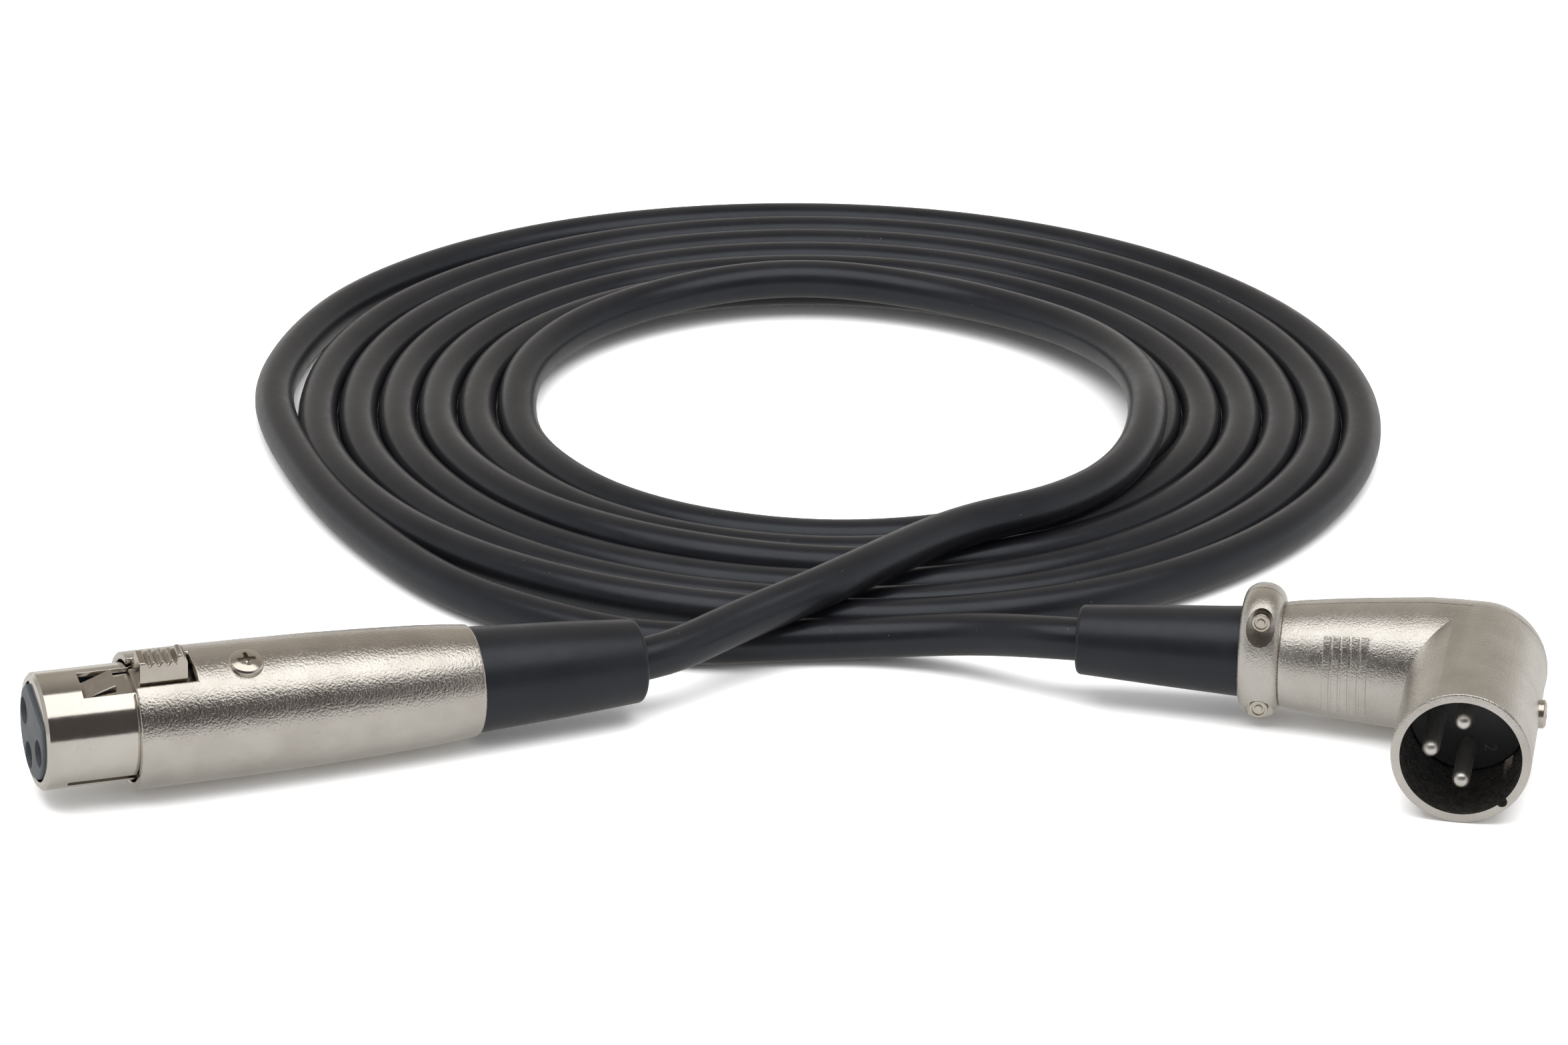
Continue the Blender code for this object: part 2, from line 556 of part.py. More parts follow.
def build_clamp(materials, holder):
    low, high = CLAMP_X
    half_outline = [(0, 0.86), (0.5, 0.95), (1.4, 1.0)]
    outline = [(low, 0), *[(low + x, share) for x, share in half_outline],
               *[(high - x, share) for x, share in reversed(half_outline)], (high, 0)]
    band = turned(outline)
    band.transform(Matrix.Diagonal((1, CLAMP_HALF_DEPTH, CLAMP_HALF_HEIGHT, 1)))
    moved(band, (0, 0, CLAMP_RISE))
    x = CLAMP_SCREW_X
    for name, cut_away in (("clamp_front", (-0.15, 20)), ("clamp_rear", (-20, 0.15))):
        half = piece(name, band.copy(), materials["satin_nickel"], holder)
        holes = [bar(-20, 20, 1.2, "Y", (x, 0, z)) for z in CLAMP_SCREW_Z]
        recesses = [bar(-20, -4.1, 1.75, "Y", (x, 0, z)) for z in CLAMP_SCREW_Z]
        shape(half, "DIFFERENCE", block((low - 2, high + 2), cut_away, (-20, 20)),
              bar(low - 2, high + 2, MALE_NECK_R + GAP, "X", (0, 0, 0), 32), *holes, *recesses)
    band.free()
    profile = [(-5.3, 0), (-5.3, 1.1), (-5.0, 1.4), (-4.2, 1.4), (-4.2, 0.9), (4.0, 0.9), (4.0, 0)]
    for name, z in zip(("clamp_screw_top", "clamp_screw_bottom"), CLAMP_SCREW_Z):
        screw = piece(name, moved(turned(profile, SMALL_SIDES, "Y"), (x, 0, z)),
                      materials["polished_nickel"], holder)
        shape(screw, "DIFFERENCE", block((x - 0.9, x + 0.9), (-6, -4.9), (z - 0.2, z + 0.2)))


def build_male_tail(materials, holder):
    rear, front = MALE_BOOT_REAR_X, MALE_BOOT_FRONT_X
    boot = [(rear, CABLE_R + GAP), (rear, 4.2), (rear + 0.3, 4.6), (rear + 0.8, 4.78), (front - 0.4, 6.25),
            (front, 5.9), (front, MALE_NECK_R), (MALE_NECK_END_X, MALE_NECK_R),
            (MALE_NECK_END_X, CABLE_R + GAP)]
    piece("male_boot", turned(boot), materials["boot_rubber"], holder)
    piece("male_cable_tail", bar(rear, -24.0, CABLE_R, "X", (0, 0, 0), 24), materials["cable_jacket"], holder)


def main():
    clear_scene()
    materials = make_materials()
    build_cable(materials)
    build_female(materials)
    build_male(materials)


main()
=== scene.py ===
"""Looks of the coiled microphone cable: the cable, its two connectors, the light and the camera.

Lengths are in millimetres and become metres through MM. Each connector is modelled in the frame that its CAD
has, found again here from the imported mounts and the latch's hinge:
  female: +X out of the mating face, from the barrel's front rim, with the latch at +Z
  male:   +X along the cable into the elbow, from the elbow's corner, with the shell's mouth towards -Y
"""

import json
import math

import bmesh
import bpy
from mathutils import Matrix, Vector


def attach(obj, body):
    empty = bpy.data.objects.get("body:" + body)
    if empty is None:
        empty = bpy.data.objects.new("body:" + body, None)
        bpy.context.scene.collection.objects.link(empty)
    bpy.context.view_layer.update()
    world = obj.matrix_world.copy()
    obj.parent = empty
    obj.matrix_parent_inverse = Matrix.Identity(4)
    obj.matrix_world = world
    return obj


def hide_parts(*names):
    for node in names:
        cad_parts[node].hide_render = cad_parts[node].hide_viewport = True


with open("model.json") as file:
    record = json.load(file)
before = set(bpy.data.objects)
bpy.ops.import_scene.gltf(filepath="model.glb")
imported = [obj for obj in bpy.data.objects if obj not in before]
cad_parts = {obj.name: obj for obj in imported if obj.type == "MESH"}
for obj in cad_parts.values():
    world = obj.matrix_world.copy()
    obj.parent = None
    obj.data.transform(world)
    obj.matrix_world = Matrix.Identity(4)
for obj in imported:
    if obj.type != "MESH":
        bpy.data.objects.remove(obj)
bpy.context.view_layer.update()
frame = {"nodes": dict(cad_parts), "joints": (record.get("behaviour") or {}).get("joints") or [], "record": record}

MM = 0.001
ROOT = "cable"
LATCH = "latch"
SIDES = 144                                 # facets round the large turned pieces
SMALL_SIDES = 48
SHARP = 32                                  # degrees between faces from which an edge stays sharp
BEVEL_FROM = 50                             # degrees from which soften() rounds an edge

# ---- camera
CAMERA_PLACE = (-1.2, -740.5, 347.9)
CAMERA_PITCH = 22.976                       # degrees below the horizon
CAMERA_ROLL = 0.527                         # degrees
CAMERA_LENS = 138.65
CAMERA_SENSOR = 36                          # its width
CAMERA_NEAR = 10                            # nothing nearer than this is seen

# ---- the room: what lights the scene evenly, and what glossy surfaces show of it in each direction
ROOM_FILL = (1.05, 1.05, 1.06)
ROOM_FRONT = (0.07, 0.06, 0.058)
ROOM_BACK = (0.43, 0.395, 0.345)
ROOM_SIDE = (0.58, 0.57, 0.55)
ROOM_HORIZON = (1.0, 0.98, 0.95)            # low down, behind and at the sides
# where one colour gives way to the next, as parts of a direction of length 1
FRONT_TO_BACK = (-0.1, 0.75)                # along Y
MIDDLE_TO_SIDE = (0.64, 0.92)               # along X, to either side
HIGH_TO_LOW = (0.28, 0.0)                   # along Z
FRONT_TO_REST = (-0.35, 0.1)                # along Y, for the horizon only

FLOOR_REACH = 4000.0                        # from its middle to its edges
FLOOR_DROP = 0.1                            # below the cable, so that they don't share a plane
FLOOR_GLOW_IN_METAL = (0.34, 0.33, 0.31)         # painted glow that the floor gives off only where the metal shows it, even where the floor lies in shadow
FLOOR_BASE_IN_METAL = (0.17, 0.17, 0.17)    # and what it returns of the light on it, a painted greyer colour seen only in the metal

# ---- materials
METAL_STAIN = (0.55, 0.48, 0.40)
STAIN_SHARE = (0.26, 0.26, 0.26)            # how far the darkest spots go towards the stain
SKIN_SHINE = 0.5                            # of the plastic, the rubber and the cable
SKIN_TINT = (0.82, 0.9, 1.0, 1.0)
SKIN_GRAIN = 2.2                            # features per millimetre
DUST = (0.25, 0.24, 0.23, 1.0)
DUST_GRAIN = 0.55                           # places for dust per millimetre

# ---- cable
CABLE_R = 3.0
CABLE_STEP = 2.5                            # spacing of the centreline's points
COIL_CENTRE = (5.3, 117.5)
COIL_TURNS = 6
COIL_PITCH = 6.05
COIL_RADII = [47.7, 47.6, 48.8, 49.5, 49.1, 48.4, 48.35, 48.2, 48.4, 48.8, 49.4, 49.1]
COIL_POINTS_PER_TURN = 24
SPLINE_STEPS = 10                           # between two points of the route
SMOOTHING_PASSES = 6
IN_BOOT = 0.5                               # how far the cable reaches into a boot
STRAIGHT_OUT = 3.3                          # and how far it runs straight out of it
# where the coil isn't quite flat or even: (turn, width in turns, how far up, how far out)
COIL_QUIRKS = [(2.18, 0.12, 1.5, 0.0), (5.2, 0.12, 1.0, 0.0), (5.9, 0.09, 0.0, 2.7)]
FEMALE_LEAD = [
    (-7.0, 24.9, 8.6), (2.3, 32.2, 9.6), (11.8, 42.2, 10.0), (20.8, 52.7, 9.9), (28.6, 59.6, 9.6),
    (36.4, 64.7, 9.2), (45.6, 75.5, 8.8), (51.3, 88.9, 8.9), (53.4, 101.9, 9.1), (53.6, 108.8, 8.7),
    (53.1, 118.8, 7.9), (51.1, 128.8, 7.3), (47.9, 136.9, 6.75), (43.7, 143.9, 6.3), (37.5, 151.2, 5.75),
    (29.4, 157.6, 5.55), (21.6, 161.7, 5.6), (11.4, 164.8, 6.0), (1.0, 165.6, 6.35), (-9.4, 163.9, 6.1),
    (-19.1, 159.8, 5.55), (-27.5, 153.8, 5.15), (-33.6, 147.1, 4.85), (-38.0, 139.7, 4.55),
    (-41.3, 130.2, 4.2), (-42.4, 118.6, 3.65),
]
MALE_LEAD = [
    (-72.0, 89.9, 3.0), (-61.6, 67.2, 3.0), (-46.5, 46.0, 3.0), (-25.4, 31.6, 3.0), (-13.7, 29.4, 3.0),
    (-6.2, 30.05, 3.0), (1.2, 31.0, 3.05), (10.5, 31.1, 3.4), (19.8, 29.2, 4.8), (27.1, 26.2, 6.3),
]

# ---- connectors
POLE_CIRCLE_R = 4.2
PIN_R = 1.2
FEMALE_FACE_X = 12.8                        # the female mating face, from the barrel's rim
FEMALE_BOOT_REAR_X = -71.9
BARREL_REAR_X = -48.1
BARREL_SLOT_X = -8.45                       # the rear end of the button's slot in the barrel
BARREL_SLOT_ANGLE = 16.5                    # degrees to either side of +Z
SLEEVE_R = 7.9
SLEEVE_BORE_R = 7.2
SLEEVE_X = (-18.5, 12.4)
SLEEVE_LIP_X = 11.6                         # the back of the sleeve's inward lip
SLEEVE_LIP_R = 6.75
SLEEVE_FLAT_Z = 4.8
INSERT_STEP_X = 11.3
INSERT_FLAT_Z = 4.5
LATCH_PIN = (-9.5, 5.0)                     # x and z
LATCH_PIN_HOLE_R = 0.8
SOCKET_R = 1.85                             # of the insert's bores round the contacts
FEMALE_SCREW = (-15.5, 1.0)                 # x and y
FEMALE_SCREW_ROOT_Z = 8.2
RECESS_REACH = 1.25                         # half the length of a bar of the screw's cross
RECESS_HALF = 0.28                          # and half its width
RECESS_FLOOR_Z = 9.3
BUTTON_X = (-7.3, -0.7)
BUTTON_SHOULDER_Z = 8.9                     # the button's sides lean inwards from here
BUTTON_TOP_Z = 11.5
BUTTON_REAR_Z = 12.1
BUTTON_GROOVES = 4
FIRST_GROOVE_X = -5.83
GROOVE_PITCH = 1.25
GROOVE_DEPTH = 0.5
REAR_CREST_LENGTH = 1.75
BUTTON_HALF_WIDTH = 2.3
BUTTON_LEAN = 0.365                         # inwards for each millimetre above the shoulder
BUTTON_EDGE = 0.2                           # how far the end sections draw in
BUTTON_STATION = 0.07                       # spacing of the button's sections

MALE_FACE = (1.5, -15.5)                    # a point of the male insert's face
MALE_INSERT_REAR_Y = -9.0
MALE_TILT = 0.6                             # degrees that the elbow end is higher than the clamp
MALE_PIN_TIP_Y = -27.8
MALE_BOOT_REAR_X = -54.9
NUMERAL_SIZE = 2.4
NUMERAL_HALF_DEPTH = 0.08
SHELL_LENGTH = 29.5                         # from the elbow's corner to the mouth
SHELL_BORE_R = 8.1
KEYWAY_ANGLE = -46.0                        # degrees from +X about the shell
KEYWAY_R = 0.75
ELBOW_R = 9.3
BODY_END_X = -26.7
SEAM_HALF_GAP = 0.06                        # between the housing and the back cover
CUT_X = (-60, 20)                           # past both ends of the casting
CUT_REACH = 20                              # past its sides
INSERT_SCREW_Y = -13.4
RIBS = 5
FIRST_RIB_X = -20.12
RIB_PITCH = 1.28
RIB_HALF_WIDTH = 0.5
RIB_ANGLES = (46, 130)                      # degrees from +Z, where a rib starts and ends
RIB_HEIGHT = 0.5                            # at its top
RIB_FALL = 0.38                             # how much lower it is over its last two thirds
RIB_ROOT = 0.6                              # how deep it is set in the body
RIB_SECTIONS = 24
CLAMP_X = (-32.3, -26.65)
CLAMP_HALF_DEPTH = 7.6
CLAMP_HALF_HEIGHT = 9.3
CLAMP_RISE = 0.45                           # the clamp's middle above the cable's axis
CLAMP_EDGE = 2.7                            # how far in from each end face its edges are rounded
CLAMP_END_DEPTH = 0.86                      # the end faces' share of the full depth
CLAMP_END_HEIGHT = 0.74                     # and of the full height
CLAMP_SPLIT = 0.06                          # half the gap between the clamp's two halves
CLAMP_BORE_R = 4.8
CLAMP_SCREW_X = -29.3
CLAMP_SCREW_Z = (6.7, -6.1)                 # the upper and the lower screw
CLAMP_RECESS_R = 1.95
CLAMP_RECESS_STRETCH = 1.2
CLAMP_RECESS_DROP = 0.5                     # its middle, below the screw's


def mount(name):
    """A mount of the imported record."""
    return next(m for m in frame["record"]["mounts"] if m["name"] == name)


def axes(x, y, origin):
    """A matrix from two axes and an origin."""
    z = x.cross(y).normalized()
    return Matrix.Translation(origin) @ Matrix((x, y, z)).transposed().to_4x4()


def female_frame():
    """The female connector's frame, from its mating face and the latch's hinge, which lies along its Y."""
    face = mount("female_mating_face")
    x = Vector(face["axis"]).normalized()
    y = Vector(frame["joints"][0]["axis"]).normalized()
    return axes(x, y, Vector(face["pos_m"]) - x * FEMALE_FACE_X * MM)


def male_frame():
    """The male connector's frame, from its mating face and its tilt."""
    face = mount("male_mating_face")
    y = -Vector(face["axis"]).normalized()
    up = Vector((0, 0, 1))
    tilt = math.radians(MALE_TILT)
    x = y.cross(up) * math.cos(tilt) + up * math.sin(tilt)
    return axes(x, y, Vector(face["pos_m"]) - (x * MALE_FACE[0] + y * MALE_FACE[1]) * MM)


FEMALE = female_frame()
MALE = male_frame()


# ---------------------------------------------------------------- camera, light and floor

def make_camera():
    """A camera that looks along +Y and down, as the photograph does."""
    camera = bpy.data.objects.new("camera", bpy.data.cameras.new("camera"))
    bpy.context.scene.collection.objects.link(camera)
    camera.data.sensor_width = CAMERA_SENSOR
    camera.data.lens = CAMERA_LENS
    camera.data.clip_start = CAMERA_NEAR * MM
    tilt = Matrix.Rotation(math.radians(90 - CAMERA_PITCH), 4, "X")
    roll = Matrix.Rotation(math.radians(CAMERA_ROLL), 4, "Z")
    camera.matrix_world = Matrix.Translation(Vector(CAMERA_PLACE) * MM) @ tilt @ roll
    bpy.context.scene.camera = camera


def softbox(name, place, aim, size, power, colour):
    """A rectangular light; its place, aim and size are in metres and its power in watts."""
    light = bpy.data.lights.new(name, "AREA")
    light.shape = "RECTANGLE"
    light.size, light.size_y = size
    light.energy = power
    light.color = colour
    holder = bpy.data.objects.new(name, light)
    bpy.context.scene.collection.objects.link(holder)
    holder.location = place
    holder.rotation_euler = (Vector(aim) - Vector(place)).to_track_quat("-Z", "Y").to_euler()
    return holder


def make_light():
    """A softbox overhead that lights, a fainter one that only shines in the surfaces, and the room."""
    overhead = softbox("overhead", place=(0.0, -0.08, 0.85), aim=(0.0, 0.05, 0.0), size=(1.3, 0.7),
                       power=13.0, colour=(1.0, 0.99, 0.98))
    overhead.visible_glossy = False
    shine = softbox("shine", place=(0.0, -0.22, 0.85), aim=(0.0, 0.0, 0.0), size=(1.5, 0.75),
                    power=5.4, colour=(1.0, 0.99, 0.965))
    shine.visible_diffuse = False
    make_room()


def make_room():
    """Even light for every surface, and a room for glossy ones to show: dark in front, bright elsewhere."""
    world = bpy.data.worlds.new("room")
    bpy.context.scene.world = world
    world.use_nodes = True
    nodes, links = world.node_tree.nodes, world.node_tree.links

    def mix(factor, low, high):
        node = nodes.new("ShaderNodeMix")
        node.data_type = "RGBA"
        links.new(factor, node.inputs["Factor"])
        for socket, value in (("A", low), ("B", high)):
            if isinstance(value, tuple):
                node.inputs[socket].default_value = (*value, 1)
            else:
                links.new(value, node.inputs[socket])
        return node.outputs["Result"]

    def share(source, low, high):
        """0 where the source is low, rising to 1 where it is high."""
        node = nodes.new("ShaderNodeMapRange")
        node.inputs["From Min"].default_value = low
        node.inputs["From Max"].default_value = high
        links.new(source, node.inputs["Value"])
        return node.outputs["Result"]

    direction = nodes.new("ShaderNodeTexCoord")
    parts = nodes.new("ShaderNodeSeparateXYZ")
    links.new(direction.outputs["Generated"], parts.inputs["Vector"])
    sideways = nodes.new("ShaderNodeMath")
    sideways.operation = "ABSOLUTE"
    links.new(parts.outputs["X"], sideways.inputs[0])
    seen = mix(share(parts.outputs["Y"], *FRONT_TO_BACK), ROOM_FRONT, ROOM_BACK)
    seen = mix(share(sideways.outputs["Value"], *MIDDLE_TO_SIDE), seen, ROOM_SIDE)
    low_down = nodes.new("ShaderNodeMath")
    low_down.operation = "MULTIPLY"
    links.new(share(parts.outputs["Z"], *HIGH_TO_LOW), low_down.inputs[0])
    links.new(share(parts.outputs["Y"], *FRONT_TO_REST), low_down.inputs[1])
    seen = mix(low_down.outputs["Value"], seen, ROOM_HORIZON)
    path = nodes.new("ShaderNodeLightPath")
    links.new(mix(path.outputs["Is Glossy Ray"], ROOM_FILL, seen), nodes["Background"].inputs["Color"])


def make_floor():
    """The white ground of the photograph, which is only staged and isn't part of the object."""
    bm = bmesh.new()
    bmesh.ops.create_grid(bm, x_segments=1, y_segments=1, size=FLOOR_REACH)
    floor = finished("floor", bm, white_floor(), Matrix())
    floor.location.z = -FLOOR_DROP * MM


# ---------------------------------------------------------------- materials

def shader_nodes(name):
    """A new node material, its shader, and functions that add and join nodes."""
    material = bpy.data.materials.new(name)
    material.use_nodes = True
    tree = material.node_tree

    def add(kind, **values):
        node = tree.nodes.new("ShaderNode" + kind)
        for key, value in values.items():
            if key in node.inputs:
                node.inputs[key].default_value = value
            else:
                setattr(node, key, value)
        return node

    return material, tree.nodes["Principled BSDF"], add, tree.links.new


def noise(add, join, scale, detail=3.0, roughness=0.55):
    """Noise over the piece; scale is in features per millimetre."""
    place = add("TexCoord")
    pattern = add("TexNoise", Scale=scale / MM, Detail=detail, Roughness=roughness)
    join(place.outputs["Object"], pattern.inputs["Vector"])
    return pattern.outputs["Fac"]


def ramp(add, join, source, stops):
    """A colour ramp from (place, colour) stops."""
    node = add("ValToRGB")
    elements = node.color_ramp.elements
    while len(elements) < len(stops):
        elements.new(0.5)
    for element, (place, colour) in zip(elements, stops):
        element.position = place
        element.color = (*colour, 1.0)
    join(source, node.inputs["Fac"])
    return node.outputs["Color"]


def spread(add, join, source, low, high):
    """Maps 0.3 to 0.7, most of what a noise gives, to low to high."""
    node = add("MapRange", **{"From Min": 0.3, "From Max": 0.7, "To Min": low, "To Max": high})
    join(source, node.inputs["Value"])
    return node.outputs["Result"]


def bumps(add, join, shader, layers):
    """Stacks (height, strength, depth in mm) layers of bump on the shader."""
    previous = None
    for height, strength, depth in layers:
        node = add("Bump", Strength=strength, Distance=depth * MM)
        join(height, node.inputs["Height"])
        if previous:
            join(previous, node.inputs["Normal"])
        previous = node.outputs["Normal"]
    join(previous, shader.inputs["Normal"])


def metal(name, dark, light, rough, grain, grain_depth):
    """A metal whose tone wanders from dark to light, with faint brown stains and a grain under its polish.

    The grain is in features per millimetre, and its depth in millimetres.
    """
    material, shader, add, join = shader_nodes(name)
    shader.inputs["Metallic"].default_value = 1.0
    tone = ramp(add, join, noise(add, join, 0.12, 4.0), [(0.35, dark), (0.65, light)])
    stained = add("Mix", data_type="RGBA", blend_type="MULTIPLY")
    stained.inputs["B"].default_value = (*METAL_STAIN, 1.0)
    spots = ramp(add, join, noise(add, join, 0.5, 6.0, 0.7), [(0.62, (0, 0, 0)), (0.8, STAIN_SHARE)])
    join(spots, stained.inputs["Factor"])
    join(tone, stained.inputs["A"])
    join(stained.outputs["Result"], shader.inputs["Base Color"])
    uneven = spread(add, join, noise(add, join, 0.8, 4.0), rough * 0.85, rough * 1.15)
    join(uneven, shader.inputs["Roughness"])
    bumps(add, join, shader, [(noise(add, join, grain, 2.0), 1.0, grain_depth),
                              (noise(add, join, grain * 3, 2.0), 0.5, grain_depth * 0.3)])
    return material


def moulded(name, dark, light, rough, grain_depth, specks=0.0):
    """Plastic or rubber with a fine skin grain_depth millimetres deep, and a little dust.

    specks is the radius of a grain of dust as a share of the grains' spacing, and 0 leaves the dust out.
    """
    material, shader, add, join = shader_nodes(name)
    tone = ramp(add, join, noise(add, join, 0.07, 4.0), [(0.3, dark), (0.7, light)])
    if specks:
        place = add("TexCoord")
        dots = add("TexVoronoi", feature="F1", Scale=DUST_GRAIN / MM)
        join(place.outputs["Object"], dots.inputs["Vector"])
        near = add("Math", operation="LESS_THAN")
        near.inputs[1].default_value = specks
        join(dots.outputs["Distance"], near.inputs[0])
        chosen = add("Math", operation="MULTIPLY")
        join(near.outputs["Value"], chosen.inputs[0])
        join(spread(add, join, noise(add, join, 0.2), -0.6, 0.8), chosen.inputs[1])
        chosen.use_clamp = True
        dusty = add("Mix", data_type="RGBA")
        dusty.inputs["B"].default_value = DUST
        join(chosen.outputs["Value"], dusty.inputs["Factor"])
        join(tone, dusty.inputs["A"])
        tone = dusty.outputs["Result"]
    join(tone, shader.inputs["Base Color"])
    shader.inputs["Specular IOR Level"].default_value = SKIN_SHINE
    shader.inputs["Specular Tint"].default_value = SKIN_TINT
    uneven = spread(add, join, noise(add, join, 0.4, 4.0), rough * 0.88, rough * 1.12)
    join(uneven, shader.inputs["Roughness"])
    bumps(add, join, shader, [(noise(add, join, SKIN_GRAIN, 3.0), 1.0, grain_depth),
                              (noise(add, join, 0.15, 2.0), 0.6, 0.03)])
    return material


def white_floor():
    """A floor that is white to look at; where the metal shows it, a painted reflection: greyer, with a glow of its
    own that no shadow darkens.
    """
    material, shader, add, join = shader_nodes("floor_white")
    tones = [(0.3, (0.93, 0.93, 0.93)), (0.7, (0.95, 0.95, 0.95))]
    white = ramp(add, join, noise(add, join, 0.002), tones)
    # painted reflection: for glossy rays the floor turns greyer and glows, so the metal shows it the same even
    # where it lies in shadow
    path = add("LightPath")
    seen = add("Mix", data_type="RGBA")
    join(path.outputs["Is Glossy Ray"], seen.inputs["Factor"])
    join(white, seen.inputs["A"])
    seen.inputs["B"].default_value = (*FLOOR_BASE_IN_METAL, 1.0)
    join(seen.outputs["Result"], shader.inputs["Base Color"])
    shader.inputs["Roughness"].default_value = 0.8
    shader.inputs["Emission Color"].default_value = (*FLOOR_GLOW_IN_METAL, 1.0)
    join(path.outputs["Is Glossy Ray"], shader.inputs["Emission Strength"])
    return material


def make_materials():
    """Every material by its name: dark and light tones, roughness, and the grain or skin of its surface."""
    return {
        "satin_nickel": metal("satin_nickel", (0.58, 0.55, 0.51), (0.68, 0.65, 0.61), 0.2, 3.0, 0.065),
        "cast_nickel": metal("cast_nickel", (0.60, 0.575, 0.535), (0.72, 0.695, 0.66), 0.27, 3.8, 0.066),
        "polished_nickel": metal("polished_nickel", (0.66, 0.63, 0.58), (0.73, 0.70, 0.65), 0.12, 1.2, 0.004),
        "worn_nickel": metal("worn_nickel", (0.60, 0.55, 0.49), (0.70, 0.66, 0.60), 0.2, 2.4, 0.012),
        "spring_steel": metal("spring_steel", (0.50, 0.46, 0.40), (0.58, 0.54, 0.48), 0.25, 1.5, 0.006),
        "pin_metal": metal("pin_metal", (0.74, 0.73, 0.70), (0.82, 0.81, 0.78), 0.34, 2.0, 0.006),
        "contact_metal": metal("contact_metal", (0.70, 0.68, 0.64), (0.80, 0.78, 0.74), 0.2, 2.0, 0.006),
        "insert_plastic": moulded("insert_plastic", (0.022, 0.021, 0.021), (0.034, 0.033, 0.032), 0.45, 0.01),
        "front_plastic": moulded("front_plastic", (0.05, 0.055, 0.058), (0.07, 0.075, 0.08), 0.5, 0.01),
        "boot_rubber": moulded("boot_rubber", (0.005, 0.005, 0.0065), (0.008, 0.008, 0.01), 0.36, 0.012,
                               specks=0.05),
        "cable_jacket": moulded("cable_jacket", (0.005, 0.005, 0.0065), (0.009, 0.009, 0.011), 0.3, 0.01,
                                specks=0.04),
        "wire_red": moulded("wire_red", (0.40, 0.02, 0.02), (0.5, 0.035, 0.03), 0.4, 0.004),
        "wire_white": moulded("wire_white", (0.62, 0.61, 0.58), (0.72, 0.71, 0.68), 0.4, 0.004),
        "wire_bare": metal("wire_bare", (0.55, 0.27, 0.15), (0.66, 0.36, 0.22), 0.3, 3.0, 0.02),
    }


# ---------------------------------------------------------------- shapes, in millimetres

def rounded(outline, closed=False, steps=4):
    """An outline whose corners are arcs: a point is (x, y) for a sharp corner or (x, y, radius)."""
    made = []
    count = len(outline)
    for index, point in enumerate(outline):
        here = Vector(point[:2])
        at_end = not closed and index in (0, count - 1)
        if len(point) == 2 or at_end:
            made.append(tuple(here))
            continue
        back = Vector(outline[index - 1][:2]) - here
        ahead = Vector(outline[(index + 1) % count][:2]) - here
        half = back.angle(ahead) / 2
        run = min(point[2] / math.tan(half), back.length * 0.49, ahead.length * 0.49)
        start, stop = here + back.normalized() * run, here + ahead.normalized() * run
        radius = run * math.tan(half)
        middle = here + (back.normalized() + ahead.normalized()).normalized() * radius / math.sin(half)
        sweep = (start - middle).angle_signed(stop - middle)
        for step in range(steps + 1):
            turn = -sweep * step / steps
            arm = start - middle
            made.append((middle.x + arm.x * math.cos(turn) - arm.y * math.sin(turn),
                         middle.y + arm.x * math.sin(turn) + arm.y * math.cos(turn)))
    return made


def along(profile, place):
    """The value of a (place, value) profile at a place, on straight lines between its points."""
    points = sorted(profile)
    if place <= points[0][0]:
        return points[0][1]
    for (x0, v0), (x1, v1) in zip(points, points[1:]):
        if place <= x1:
            return v0 + (v1 - v0) * (place - x0) / (x1 - x0)
    return points[-1][1]


def turned(outline, sides=SIDES, axis="X"):
    """A body turned about an axis from (place along it, radius) points in order.

    It is solid where the outline starts and ends on the axis, with a radius of 0, and a ring elsewhere.
    """
    bm = bmesh.new()
    rings = []
    for place, radius in outline:
        if radius < 1e-6:
            rings.append([bm.verts.new((place, 0, 0))])
            continue
        angles = [2 * math.pi * k / sides for k in range(sides)]
        rings.append([bm.verts.new((place, radius * math.sin(a), radius * math.cos(a))) for a in angles])
    solid = len(rings[0]) == 1
    for low, high in zip(rings, rings[1:] if solid else rings[1:] + rings[:1]):
        for k in range(sides):
            n = (k + 1) % sides
            corners = [low[k % len(low)], low[n % len(low)], high[n % len(high)], high[k % len(high)]]
            corners = list(dict.fromkeys(corners))
            if len(corners) > 2:
                bm.faces.new(corners)
    if axis == "Y":
        bm.transform(Matrix.Rotation(math.pi / 2, 4, "Z"))
    elif axis == "Z":
        bm.transform(Matrix.Rotation(-math.pi / 2, 4, "Y"))
    bmesh.ops.recalc_face_normals(bm, faces=bm.faces)
    return bm


